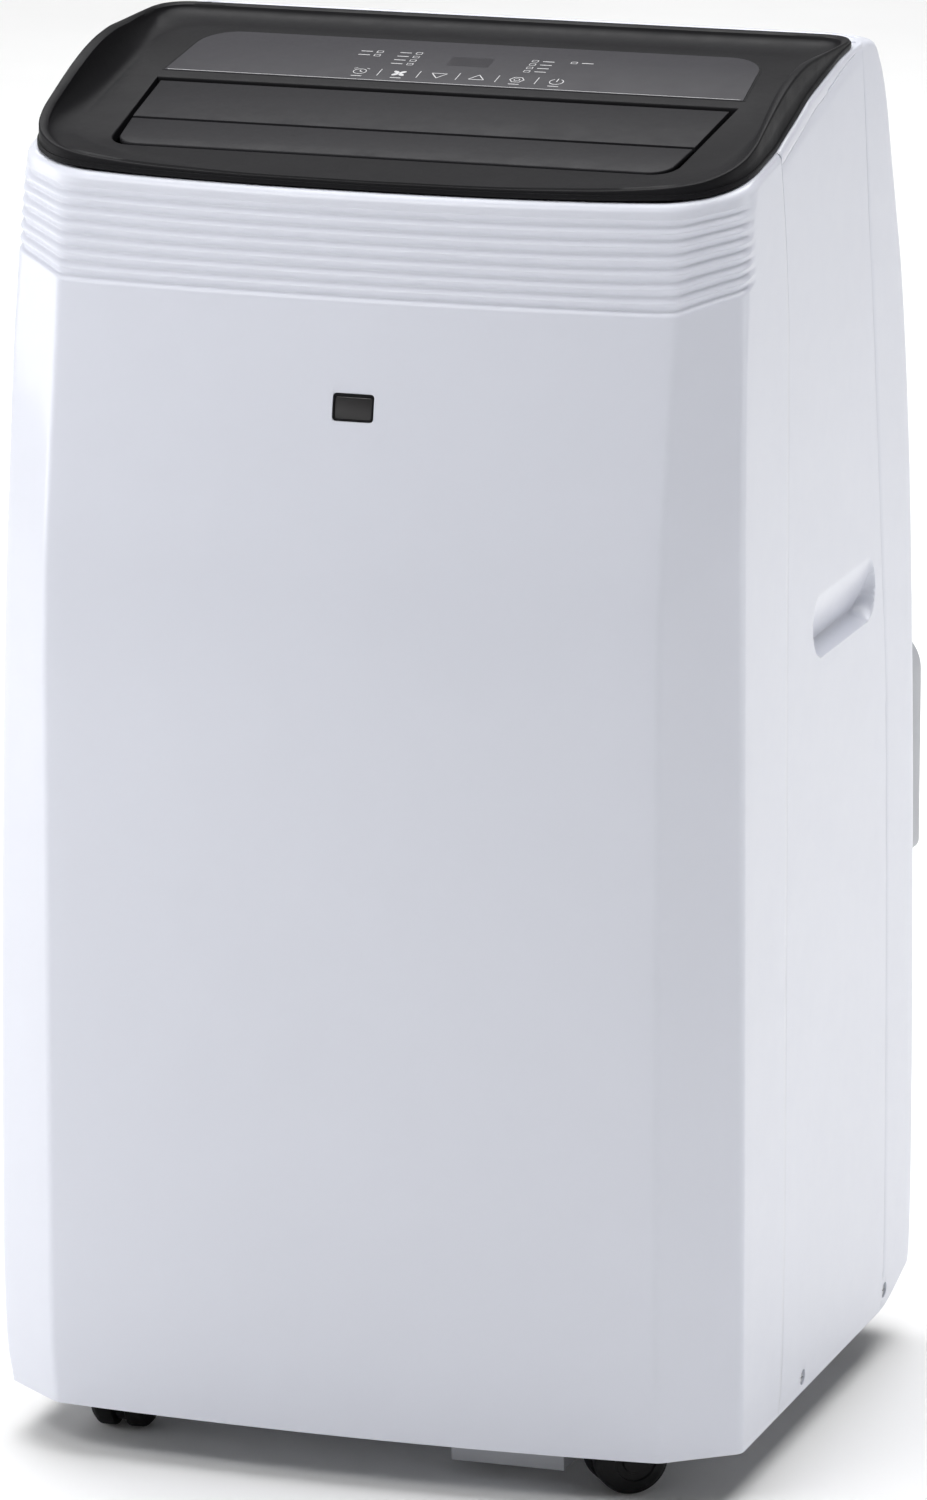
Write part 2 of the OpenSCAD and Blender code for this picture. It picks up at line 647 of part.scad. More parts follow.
module warm_outline(in) {
    r = warm_wheel_r + 6 + in;
    mirrored = [for (p = spiral(r, r + 26, 40, 200)) [-p[0], p[1]]];
    polygon(concat([[-52 - in, 371 - warm_z]], mirrored, [[106 + in, 371 - warm_z]]));
}
module warm_scroll() {
    color(nylon) place() difference() {
        union() {
            intersection() {
                translate([warm_x, warm_s[1], warm_z]) rotate([90, 0, 0])
                    linear_extrude(warm_s[1] - warm_s[0]) warm_outline(2.5);
                box(-60, 184.5, warm_s[0], warm_s[1], 48.5, 372);
            }
            box(outlet_box[0] + 1, outlet_box[1], warm_s[1] - eps, casing_d - 14, outlet_box[2] + 1, 372);
        }
        intersection() {
            translate([warm_x, warm_s[1] - 2.5, warm_z]) rotate([90, 0, 0])
                linear_extrude(warm_s[1] - warm_s[0] - 5) warm_outline(0);
            box(-60, 182, warm_s[0], warm_s[1], 51, 369.5);
        }
        box(outlet_box[0] + 4, outlet_box[1] - 3, warm_s[1] - 3, casing_d, outlet_box[2] + 4, 369.5);
        rod_y(warm_x, warm_z, warm_s[0] - 1, warm_s[0] + 5, 14);
        rod_y(warm_x, warm_z, warm_s[1] - 5, warm_s[1] + 1, warm_wheel_r - 12);
    }
}
module warm_fan() {
    color(nylon) place() translate([warm_x, warm_s[0] + 6, warm_z]) rotate([-90, 0, 0])
        blower_wheel(warm_wheel_r, warm_s[1] - warm_s[0] - 12, 12);
}
module warm_motor() {
    color(steel) place() translate([warm_x, warm_s[0] - 52, warm_z]) rotate([-90, 0, 0]) motor(42, 48);
}

// ---------------------------------------------------------------- cold side
// Finned block with end plates and return bends
module coil(x, s0, s1, z0, z1, rows) {
    place() {
        color(steel) box(-x, x, s0, s1, z0, z1);
        color(grey) for (side = [-1, 1]) box(side > 0 ? x : -x - 1.5, side > 0 ? x + 1.5 : -x, s0 - 2, s1 + 1, z0, z1);
        color(copper) for (side = [-1, 1]) for (k = [0:rows - 1])
            translate([side * (x + 1.5), (s0 + s1) / 2, z0 + (k + 0.5) * (z1 - z0) / rows])
                rotate([0, side > 0 ? 0 : 180, 0]) return_bend((z1 - z0) / rows / 4);
    }
}
module return_bend(r) {
    rotate([90, 0, 0]) rotate([0, 0, -90]) rotate_extrude(angle = 180) translate([r, 0]) circle(3, $fn = 24);
}
module evaporator_coil() coil(150, 296, 322, 399, 585, 8);
module condenser_coil() coil(150, 318, 345, 50, 245, 9);

module partition_tray() {
    color(nylon) place() difference() {
        union() {
            translate([0, 0, tray_z]) linear_extrude(4) polygon(outline(tray_z, wall + 1));
            difference() {
                box(-160, 160, 288, 345, tray_z, 396);
                box(-157, 157, 291, 342, tray_z + 4, 400);
            }
        }
        rod_y(spout_x, spout_z - 3, 335, 350, 3);
    }
}

module drain_spout() {
    color(nylon) place() difference() {
        union() {
            rod_y(spout_x, spout_z - 3, 345, 349, 5);
            rod_y(spout_x, spout_z, 349, casing_d + 0.5, 7);
            rod_y(spout_x, spout_z, casing_d + 0.5, casing_d + 17, spout_r);
        }
        rod_y(spout_x, spout_z - 2, 340, 350, 3);
        rod_y(spout_x, spout_z, 349, casing_d + 20, 5);
    }
}
module drain_plug() {
    color(black) place() {
        rod_y(spout_x, spout_z, casing_d + 2, casing_d + 17, 4.9);
        rod_y(spout_x, spout_z, casing_d + 17.1, casing_d + 20, 6.5);
        rod_y(spout_x, spout_z, casing_d + 17, casing_d + 17.1, 4.9);
    }
}

// Grille that follows the back wall, with rows of slots
module grille(m, gap = 0.5) {
    x0 = m[0] + gap;
    x1 = m[1] - gap;
    z0 = m[2] + gap;
    z1 = m[3] - gap;
    stations = concat([z0], [for (p = back_s) if (p[0] > z0 && p[0] < z1) p[0]], [z1]);
    outer = [for (z = stations) [lookup(z, back_s), z]];
    inner = [for (k = [len(stations) - 1:-1:0]) [lookup(stations[k], back_s) - 3, stations[k]]];
    rows = floor((z1 - z0 - 16) / 9);
    columns = 4;
    pitch = (x1 - x0 - 12) / columns;
    place() difference() {
        intersection() {
            side_prism(half_w) polygon(concat(outer, inner));
            box(x0, x1, 200, 400, z0, z1);
        }
        for (c = [0:columns - 1]) for (k = [0:rows - 1])
            box(x0 + 8 + c * pitch, x0 + 4 + (c + 1) * pitch, 200, 400, z0 + 10 + k * 9, z0 + 15 + k * 9);
    }
}
// Filter frame with cross bars and a thin mesh, on posts that clip to its grille
module filter(m, s, post) {
    x0 = m[0] + 2;
    x1 = m[1] - 2;
    z0 = m[2] + 2;
    z1 = m[3] - 2;
    place() {
        difference() {
            box(x0, x1, s, s + 3, z0, z1);
            for (c = [0:3]) for (k = [0:2])
                box(x0 + 4 + c * (x1 - x0 - 4) / 4, x0 + (c + 1) * (x1 - x0 - 4) / 4, s - 1, s + 2.4,
                    z0 + 4 + k * (z1 - z0 - 4) / 3, z0 + (k + 1) * (z1 - z0 - 4) / 3);
        }
        for (x = [x0 + 2, x1 - 2]) for (z = [z0 + 4, z1 - 4])
            rod_y(x, z, s + 3, post ? lookup(z, back_s) - 3.6 : s + 4, 1.6);
    }
}
module upper_grille() color(white) grille(upper_mouth);
module lower_grille() color(white) grille(lower_mouth);
module upper_filter() color(dark) filter(upper_mouth, 327, true);
module lower_filter() color(dark) filter(lower_mouth, 350, true);

// ---------------------------------------------------------------- warm side
module exhaust_outlet() {
    o = outlet_box;
    w = exhaust_wall;
    color(grey) place() {
        difference() {
            round_panel(o[0], o[1], o[2], o[3], 6, 23, casing_d - 13, total_d);
            round_panel(o[0] + w, o[1] - w, o[2] + w, o[3] - w, 3, 17, casing_d - 20, total_d + 1);
        }
        for (k = [1:7]) box(o[0] + w, o[1] - w, casing_d - 11, casing_d - 8, o[2] + 15 * k - 1.5, o[2] + 15 * k + 1.5);
    }
}

splash = [-92, 268, 72];
module splash_motor() {
    color(steel) place() translate([splash[0], splash[1], splash[2]]) rotate([-90, 0, 0]) {
        difference() {
            union() {
                cylinder(h = 26, r = 17);
                translate([-14, 0, 0]) cube([28, 23, 6]);
            }
            translate([0, 0, 18]) cylinder(h = 10, r = 2 + running_gap);
        }
    }
}
module splash_wheel() {
    color(nylon) place() translate([splash[0], splash[1], splash[2]]) rotate([-90, 0, 0]) {
        translate([0, 0, 19]) cylinder(h = 22, r = 2);
        difference() {
            union() {
                translate([0, 0, 30]) cylinder(h = 2, r = 20);
                translate([0, 0, 30]) cylinder(h = 8, r = 5);
                for (k = [0:7]) rotate(45 * k) translate([4, -0.8, 30]) cube([18, 1.6, 9]);
            }
            translate([0, 0, 29]) cylinder(h = 20, r = 2);
        }
    }
}

comp = [-98, 180];
module compressor() {
    color(black) place() translate([comp[0], comp[1], 0]) {
        translate([0, 0, 62]) cylinder(h = 190, r = 56);
        translate([0, 0, 252]) cylinder(h = 22, r1 = 56, r2 = 34);
        translate([0, 0, 46]) cylinder(h = 16, r1 = 40, r2 = 56);
        translate([0, 0, 274]) cylinder(h = 10, r = 10);
        difference() {
            linear_extrude(49) union() {
                for (a = [30, 150, 270]) rotate(a) translate([0, -11]) square([68, 22]);
                for (a = [30, 150, 270]) rotate(a) translate([66, 0]) circle(11);
            }
            translate([0, 0, -1]) cylinder(h = 47, r = 100);
            for (a = [30, 150, 270]) rotate(a) translate([66, 0, 0]) cylinder(h = 60, r = 7);
        }
    }
}
module compressor_grommets() {
    color(dark) place() translate([comp[0], comp[1], 0]) for (a = [30, 150, 270]) rotate(a) translate([66, 0, 0]) {
        translate([0, 0, 33]) cylinder(h = 12.9, r = 10);
        translate([0, 0, 45.9]) cylinder(h = 3.2, r = 6.9);
        translate([0, 0, 49.1]) cylinder(h = 3, r = 10);
    }
}
module accumulator() {
    color(black) place() translate([-22, 130, 0]) {
        translate([0, 0, 80]) cylinder(h = 120, r = 24);
        translate([0, 0, 200]) cylinder(h = 14, r1 = 24, r2 = 8);
        translate([0, 0, 66]) cylinder(h = 14, r1 = 8, r2 = 24);
    }
}

// Copper pipe through a list of corners, with a soldered elbow at each one
module pipe(points, r = 4) {
    for (k = [0:len(points) - 2]) {
        a = points[k];
        b = points[k + 1];
        d = b - a;
        translate(a) rotate([0, acos(d[2] / norm(d)), atan2(d[1], d[0])]) cylinder(h = norm(d), r = r);
        if (k > 0) translate(a) sphere(r + 1);
    }
}
module refrigerant_pipes() {
    color(copper) place() {
        pipe([[comp[0], comp[1], 284.5], [comp[0], comp[1], 320], [-164, comp[1], 320], [-164, 331, 320],
              [-164, 331, 238]]);
        pipe([[-22, 130, 214.5], [-22, 130, 340], [-168, 130, 340], [-168, 130, 378]]);
    }
}

module electrical_box() {
    color(steel) place() {
        difference() {
            box(50, 168, 48, 108, 70, 290);
            box(52, 166, 50, 106, 72, 292);
        }
        box(50, 168, 48, 108, 290.2, 292.2);
    }
    color([0.10, 0.30, 0.16]) place() box(58, 160, 92, 94, 80, 280);
    color(nylon) place() translate([100, 70, 72.2]) cylinder(h = 80, r = 18);
}

module cord_gland() {
    color(dark) place() difference() {
        union() {
            rod_y(gland_x, gland_z, casing_d - 12, casing_d + 0.2, 6);
            rod_y(gland_x, gland_z, casing_d + 0.2, casing_d + 3.2, 10);
            rod_y(gland_x, gland_z, casing_d + 3.2, casing_d + 12, 8, 6);
        }
        rod_y(gland_x, gland_z, casing_d - 15, casing_d + 15, cord_r);
    }
}

// ---------------------------------------------------------------- base and casters
module base_pan() {
    color(grey) place() difference() {
        union() {
            translate([0, 0, 30]) linear_extrude(3) polygon(outline(40, wall + 1.5));
            difference() {
                translate([0, 0, 30]) linear_extrude(28) polygon(outline(40, wall + 1.5));
                translate([0, 0, 29]) linear_extrude(30) polygon(outline(40, wall + 4));
            }
            for (c = casters) translate([c[1] * caster_x, c[2], 30]) cylinder(h = well_z + 3 - 30, r = well_r + 2.5);
            for (c = casters) translate([c[1] * caster_x, c[2], well_z]) cylinder(h = 16, r = 11);
            for (x = [-1, 1]) for (s = side_screw_s)
                box(x > 0 ? 178 : -188, x > 0 ? 188 : -178, s - 6, s + 6, 30, 44);
            box(42, 101, 42, 132, 8, 30);
            rod_y(base_spout_x, base_spout_z, casing_d - 8, casing_d + 9, 7);
        }
        for (c = casters) translate([c[1] * caster_x, c[2], 20]) cylinder(h = well_z - 20, r = well_r);
        for (c = casters) translate([c[1] * caster_x, c[2], well_z - 5]) cylinder(h = 40, r = stem_r + running_gap);
        box(45, 98, 45, 129, 11, 40);
        rod_y(base_spout_x, base_spout_z, casing_d - 20, casing_d + 20, 4);
        for (x = [-1, 1]) for (k = [0, 1])
            rod_x(x > 0 ? 170 : -200, x > 0 ? 200 : -170, side_screw_s[k], screw_z + 2 * k, screw_r);
    }
}
module drain_cap() {
    color(black) place() difference() {
        rod_y(base_spout_x, base_spout_z, casing_d + 0.5, casing_d + 12, 9);
        rod_y(base_spout_x, base_spout_z, casing_d, casing_d + 9.1, 7.05);
    }
}

// Puts a caster that trails along +X at the origin onto its swivel axis
module at_caster(k) {
    c = casters[k];
    place() translate([c[1] * caster_x, c[2], 0]) rotate(c[3]) children();
}
module caster_hood(k) {
    color(black) at_caster(k) difference() {
        union() {
            // Web between the wheels, and a hood over them
            translate([caster_trail, web_t / 2, caster_r]) rotate([90, 0, 0]) cylinder(h = web_t, r = 16);
            translate([-6, -web_t / 2, 14]) cube([20, web_t, hood_top - 14]);
            translate([0, 0, boss_z]) cylinder(h = hood_top - boss_z, r = 9);
            intersection() {
                translate([caster_trail, caster_face, caster_r]) rotate([90, 0, 0]) difference() {
                    cylinder(h = 2 * caster_face, r = caster_r + 3.6);
                    translate([0, 0, -1]) cylinder(h = 2 * caster_face + 2, r = caster_r + 1.4);
                }
                translate([-30, -20, 23]) cube([60, 40, 30]);
            }
        }
        translate([caster_trail, 20, caster_r]) rotate([90, 0, 0]) cylinder(h = 40, r = axle_r);
        translate([0, 0, boss_z]) cylinder(h = 40, r = stem_r - 1);
        translate([caster_trail - 30, -caster_face - 1, hood_top]) cube([60, 2 * caster_face + 2, 10]);
    }
}
module caster_pins(k) {
    color(steel) at_caster(k) {
        translate([caster_trail, caster_face - 1, caster_r]) rotate([90, 0, 0])
            cylinder(h = 2 * caster_face - 2, r = axle_r);
        translate([0, 0, boss_z]) cylinder(h = hood_top - boss_z, r = stem_r - 1);
        translate([0, 0, hood_top]) cylinder(h = stem_top - hood_top, r = stem_r);
    }
}
module caster_wheels(k) {
    color(black) at_caster(k) translate([caster_trail, 0, caster_r]) for (side = [-1, 1]) difference() {
        rotate([-90 * side, 0, 0]) translate([0, 0, web_t / 2 + 0.5]) difference() {
            union() {
                cylinder(h = 9, r = caster_r);
                translate([0, 0, 9]) cylinder(h = 2, r1 = caster_r, r2 = caster_r - 1.5);
                translate([0, 0, 11]) cylinder(h = 3, r1 = caster_r - 1.5, r2 = caster_r - 6.5);
            }
            translate([0, 0, -1]) cylinder(h = 20, r = axle_r + running_gap);
            translate([0, 0, 11.5]) difference() {
                cylinder(h = 6, r = 10.5);
                translate([0, 0, -1]) cylinder(h = 9, r = 6);
            }
        }
    }
}

base_pan();
front_panel();
left_side_panel();
right_side_panel();
rear_cover();
top_frame();
top_bezel();
control_overlay();
control_board();
receiver_window();
outlet_duct();
louver_front();
louver_rear();
louver_link();
louver_motor();
vane_1();
vane_2();
vane_3();
vane_4();
vane_5();
vane_link();
cold_scroll();
cold_fan();
cold_motor();
evaporator_coil();
partition_tray();
drain_spout();
drain_plug();
upper_grille();
upper_filter();
lower_grille();
lower_filter();
condenser_coil();
warm_scroll();
warm_fan();
warm_motor();
exhaust_outlet();
splash_motor();
splash_wheel();
compressor();
compressor_grommets();
accumulator();
refrigerant_pipes();
electrical_box();
cord_gland();
drain_cap();
casing_screws();
caster_hood(0);  // caster_hood_fl
caster_hood(1);  // caster_hood_fr
caster_hood(2);  // caster_hood_rl
caster_hood(3);  // caster_hood_rr
caster_pins(0);  // caster_pins_fl
caster_pins(1);  // caster_pins_fr
caster_pins(2);  // caster_pins_rl
caster_pins(3);  // caster_pins_rr
caster_wheels(0);  // caster_wheels_fl
caster_wheels(1);  // caster_wheels_fr
caster_wheels(2);  // caster_wheels_rl
caster_wheels(3);  // caster_wheels_rr
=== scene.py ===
"""Portable air conditioner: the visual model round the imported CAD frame.

Shapes are worked out in millimetres: s runs from the front of the casing to the back, x to the right and z up
from the floor. to_frame() turns them into the frame's metres.
"""
import json
import math

import bmesh
import bpy
import numpy as np
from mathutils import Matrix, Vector


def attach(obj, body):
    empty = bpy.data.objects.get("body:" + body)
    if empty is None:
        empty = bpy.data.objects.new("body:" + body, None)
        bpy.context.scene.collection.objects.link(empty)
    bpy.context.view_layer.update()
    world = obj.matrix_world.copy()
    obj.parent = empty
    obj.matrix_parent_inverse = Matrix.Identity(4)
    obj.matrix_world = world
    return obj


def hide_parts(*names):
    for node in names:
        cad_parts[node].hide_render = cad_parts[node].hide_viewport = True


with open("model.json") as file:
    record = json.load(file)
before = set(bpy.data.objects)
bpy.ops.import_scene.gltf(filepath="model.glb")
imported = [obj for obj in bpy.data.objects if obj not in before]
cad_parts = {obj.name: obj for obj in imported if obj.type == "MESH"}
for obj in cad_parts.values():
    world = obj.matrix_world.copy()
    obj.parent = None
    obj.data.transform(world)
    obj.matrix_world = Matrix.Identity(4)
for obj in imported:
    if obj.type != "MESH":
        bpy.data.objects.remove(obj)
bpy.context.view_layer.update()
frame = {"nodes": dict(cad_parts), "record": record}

MM = 0.001
NODES = frame["nodes"]
BODIES = {node: body for body, nodes in frame["record"]["behaviour"]["bodies"].items() for node in nodes}
SLOTS = {part["node"]: part["material_slot"] for part in frame["record"]["subparts"]}


# ---------------------------------------------------------------- sizes
UNIT_H = 700.0
CASING_D = 363.0
TOTAL_D = 385.0
WALL = 2.6
SKIRT_Z = 26.0
REAR_R = 22.0
FRONT_BOW = 8.0
CREASE_X = 158.5
FRAME_H = 7.0
TOP_DROP = 3.2
SHOULDER_R = 5.0
FLOOR_SLOPE = 0.2034
OVERLAY_FRONT = (151.3, 168.0)
OVERLAY_REAR = (148.0, 224.5)
MOUTH_REAR = (151.8, 159.0)
MOUTH_FRONT = (146.0, 68.0)


def curve(table):
    """Smooth function through pairs of place and value, which never swings past them."""
    x, y = np.array(table, float).T
    h = np.diff(x)
    d = np.diff(y) / h
    m = np.zeros_like(y)
    m[0], m[-1] = d[0], d[-1]
    for k in range(1, len(x) - 1):
        if d[k - 1] * d[k] > 0:
            w0 = 2 * h[k] + h[k - 1]
            w1 = h[k] + 2 * h[k - 1]
            m[k] = (w0 + w1) / (w0 / d[k - 1] + w1 / d[k])

    def value(t):
        t = np.clip(np.asarray(t, float), x[0], x[-1])
        k = np.clip(np.searchsorted(x, t, side="right") - 1, 0, len(x) - 2)
        u = (t - x[k]) / h[k]
        return ((1 + 2 * u) * (1 - u) ** 2 * y[k] + u * (1 - u) ** 2 * h[k] * m[k]
                + u * u * (3 - 2 * u) * y[k + 1] + u * u * (u - 1) * h[k] * m[k + 1])
    return value


# Sections of the casing, each against height: creases, outer front edges, back wall and half of the width.
# The tables' values were measured at the photograph's outlines, some of them by fitting, and rounded.
crease_s = curve([(26, 15), (45, 11), (70, 8.5), (110, 8), (400, 8), (463, 11.5), (511, 19), (555, 27),
                  (605, 36), (645, 41), (700, 50)])
edge_s = curve([(26, 43), (45, 39), (70, 37), (110, 36), (260, 37), (409, 40.5), (507, 45.5), (594, 53),
                (645, 60), (700, 68)])
back_s = curve([(26, 361), (60, 363), (300, 363), (445, 360), (505, 356), (570, 347), (600, 339), (630, 330),
                (668, 319), (687, 311), (696, 302), (700, 285)])
side_x = curve([(26, 193), (50, 194.5), (107, 195), (260, 194), (409, 192), (507, 190), (600, 188),
                (660, 187), (700, 185)])
# Against the distance from the front: crest of the black rim, its lower edge, and the rear cover's lower edge
crest_z = curve([(20, 650.5), (36.6, 653.4), (48, 659.5), (60, 665), (70, 669), (80, 673), (90, 677),
                 (100, 681), (120, 688.5), (140, 694.5), (160, 698.3), (180, 700), (300, 700)])
rim_low = curve([(20, 647), (36, 649.4), (48, 652.5), (60, 656), (88, 661.5), (112, 665.5), (131, 671),
                 (150, 676.5), (172, 683.3), (190, 687), (210, 691), (229, 694.5), (256, 696.5), (300, 697)])
rear_low = curve([(285, 26), (296, 26.3), (343, 39), (368, 48)])
frame_height = curve([(20, FRAME_H), (190, FRAME_H), (225, 5.4), (262, 2.6), (300, 2.6)])
# Against height: the side panels' front and rear seams, and the roundings of the crease and of the outer edge
front_seam = curve([(26, 108), (190, 110), (392, 115), (500, 121), (576, 125), (616, 122), (662, 114),
                    (700, 108)])
rear_seam = curve([(26, 294), (140, 292.4), (250, 292.6), (353, 292), (428, 285.6), (496, 279.8),
                   (548, 275.8), (616, 267.6), (662, 263), (694, 261.6), (700, 261.6)])
crease_fillet = curve([(26, 3.0), (600, 3.0), (625, 4.0), (642, 8), (652, 14), (700, 14)])
edge_fillet = curve([(26, 3.6), (560, 3.6), (600, 5.5), (642, 9), (652, 13), (700, 13)])


def floor_z(s):
    return 660.5 + FLOOR_SLOPE * (s - 72)


def smoothstep(a, b, t):
    u = np.clip((np.asarray(t, float) - a) / (b - a), 0, 1)
    return u * u * (3 - 2 * u)


def to_frame(points):
    p = np.array(points, float)
    p[..., 1] -= TOTAL_D / 2
    return p * MM


# ---------------------------------------------------------------- mesh helpers
def new_piece(name, mesh):
    piece = bpy.data.objects.new(name, mesh)
    bpy.context.scene.collection.objects.link(piece)
    return piece


def piece_from(name, verts, faces):
    mesh = bpy.data.meshes.new(name)
    mesh.from_pydata([tuple(v) for v in verts], [], faces)
    mesh.validate()
    return new_piece(name, mesh)


def grid_faces(rows, cols, closed=False, flip=False, start=0):
    faces = []
    for r in range(rows - 1):
        for c in range(cols if closed else cols - 1):
            a = start + r * cols + c
            b = start + r * cols + (c + 1) % cols
            face = (a, b, b + cols, a + cols)
            faces.append(face[::-1] if flip else face)
    return faces


def both_halves(half):
    """Adds the mirror image of a right half whose last column is on the middle."""
    left = half[:, -2::-1].copy()
    left[..., 0] *= -1
    return np.concatenate([half, left], axis=1)


def grid_piece(name, points, closed=False, flip=False):
    """Piece over rows and columns of points in millimetres. Its faces look outwards when columns run
    anticlockwise seen from above and rows run up."""
    rows, cols = points.shape[:2]
    verts = to_frame(points.reshape(-1, 3))
    return piece_from(name, verts, grid_faces(rows, cols, closed, flip))


def edited(piece, action):
    """Lets a function work on the piece's mesh as a bmesh."""
    work = bmesh.new()
    work.from_mesh(piece.data)
    action(work)
    work.to_mesh(piece.data)
    work.free()
    return piece


def clean(piece, merge=0.01, dissolve=None):
    """Merges points closer than merge millimetres, and flat neighbouring faces if dissolve gives an angle."""
    def tidy(work):
        bmesh.ops.remove_doubles(work, verts=work.verts, dist=merge * MM)
        if dissolve is not None:
            bmesh.ops.dissolve_limit(work, angle_limit=math.radians(dissolve), verts=work.verts,
                                     edges=work.edges)
    return edited(piece, tidy)


def face_outwards(piece):
    return edited(piece, lambda work: bmesh.ops.recalc_face_normals(work, faces=work.faces))


def apply_all(piece):
    """Replaces the piece's mesh with the result of its modifiers."""
    graph = bpy.context.evaluated_depsgraph_get()
    mesh = bpy.data.meshes.new_from_object(piece.evaluated_get(graph))
    piece.modifiers.clear()
    piece.data = mesh
    return piece


def smooth(piece, angle=32):
    piece.data.shade_smooth()
    piece.data.set_sharp_from_angle(angle=math.radians(angle))
    return piece


def solidify(piece, thickness, even=True):
    wall = piece.modifiers.new("wall", "SOLIDIFY")
    wall.thickness = thickness * MM
    wall.offset = -1
    wall.use_even_offset = even
    return apply_all(piece)


def bevel(piece, width, angle=50, segments=2):
    edge = piece.modifiers.new("edge", "BEVEL")
    edge.width = width * MM
    edge.segments = segments
    edge.limit_method = "ANGLE"
    edge.angle_limit = math.radians(angle)
    edge.use_clamp_overlap = True
    return apply_all(piece)


def join(name, pieces):
    """Joins the pieces' meshes into the first one, and names it."""
    work = bmesh.new()
    for piece in pieces:
        work.from_mesh(piece.data)
    work.to_mesh(pieces[0].data)
    work.free()
    for piece in pieces[1:]:
        bpy.data.objects.remove(piece)
    pieces[0].name = name
    return pieces[0]


def cut(piece, cutters):
    """Takes the cutters out of the piece and removes them."""
    for cutter in cutters:
        hole = piece.modifiers.new("hole", "BOOLEAN")
        hole.operation = "DIFFERENCE"
        hole.solver = "EXACT"
        hole.object = cutter
        apply_all(piece)
        bpy.data.objects.remove(cutter)
    return piece


def prism(name, outline, depth, place):
    """Solid over an outline of (u, v) in millimetres, from 0 to depth along w. place() turns arrays of u, v
    and w into x, s and z."""
    u, v = np.array(outline, float).T
    n = len(u)
    ends = [np.stack(place(u, v, np.full(n, w)), axis=-1) for w in (0.0, depth)]
    faces = [tuple(range(n))[::-1], tuple(range(n, 2 * n))]
    faces += [(k, (k + 1) % n, n + (k + 1) % n, n + k) for k in range(n)]
    return face_outwards(piece_from(name, to_frame(np.concatenate(ends)), faces))


def rounded_rect(x0, x1, z0, z1, low_r, high_r, steps=8):
    """Outline with lower corners of one radius and upper corners of another, anticlockwise."""
    outline = []
    corners = ((x1 - low_r, z0 + low_r, low_r, -90), (x1 - high_r, z1 - high_r, high_r, 0),
               (x0 + high_r, z1 - high_r, high_r, 90), (x0 + low_r, z0 + low_r, low_r, 180))
    for cx, cz, r, start in corners:
        for k in range(steps + 1):
            a = math.radians(start + 90 * k / steps)
            outline.append((cx + r * math.cos(a), cz + r * math.sin(a)))
    return outline


def disc(x, z, r, steps=32):
    turn = np.linspace(0, 2 * math.pi, steps, endpoint=False)
    return [(x + r * math.cos(a), z + r * math.sin(a)) for a in turn]


def along_s(s0):
    """Places an outline drawn in (x, z) so that its depth runs back from s0."""
    return lambda u, v, w: (u, s0 + w, v)


def lathe(name, profile, origin, axis, steps=48):
    """Closed turned shape: a profile of (radius, distance along the axis) in millimetres, round an axis
    through an origin given as (x, s, z)."""
    axis = Vector(axis).normalized()
    side = axis.orthogonal().normalized()
    up = axis.cross(side)
    verts = []
    for a in np.linspace(0, 2 * math.pi, steps, endpoint=False):
        out = side * math.cos(a) + up * math.sin(a)
        verts += [Vector(origin) + out * r + axis * d for r, d in profile]
    n = len(profile)
    faces = []
    for k in range(steps):
        a, b = k * n, (k + 1) % steps * n
        faces += [(a + j, b + j, b + j + 1, a + j + 1) for j in range(n - 1)]
    piece = piece_from(name, to_frame([tuple(v) for v in verts]), faces)
    return face_outwards(clean(piece, 0.005))


# ---------------------------------------------------------------- materials
def shade(colour, factor):
    return tuple(min(1.0, c * factor) for c in colour)


class Surface:
    """Material with a principled shader, and the procedural inputs that the materials share."""

    def __init__(self, name):
        self.material = bpy.data.materials.new(name)
        self.material.use_nodes = True
        self.tree = self.material.node_tree
        self.inputs = self.tree.nodes["Principled BSDF"].inputs
        self.coords = self.node("TexCoord").outputs["Object"]

    def node(self, kind, **values):
        made = self.tree.nodes.new("ShaderNode" + kind)
        for label, value in values.items():
            made.inputs[label.replace("_", " ")].default_value = value
        return made

    def link(self, out, socket):
        self.tree.links.new(out, socket)

    def noise(self, scale, detail=3.0, rough=0.5, coords=None):
        texture = self.node("TexNoise", Scale=scale, Detail=detail, Roughness=rough)
        self.link(coords or self.coords, texture.inputs["Vector"])
        return texture.outputs["Fac"]

    def wave(self, axis, pitch):
        """Bands across an axis, pitch millimetres apart."""
        texture = self.node("TexWave", Scale=math.pi / (10 * pitch * MM), Distortion=0.0)
        texture.bands_direction = axis
        self.link(self.coords, texture.inputs["Vector"])
        return texture.outputs["Fac"]

    def spread(self, label, fac, low, high, steps=(0.3, 0.7)):
        """Maps a factor to a range of numbers or colours, for an input of the shader."""
        ramp = self.node("ValToRGB")
        for element, value, place in zip(ramp.color_ramp.elements, (low, high), steps):
            colour = value if isinstance(value, tuple) else (value, value, value)
            element.color = (*colour, 1)
            element.position = place
        self.link(fac, ramp.inputs["Fac"])
        self.link(ramp.outputs["Color"], self.inputs[label])

    def bump(self, fac, distance):
        relief = self.node("Bump", Distance=distance * MM, Strength=1.0)
        self.link(fac, relief.inputs["Height"])
        self.link(relief.outputs["Normal"], self.inputs["Normal"])


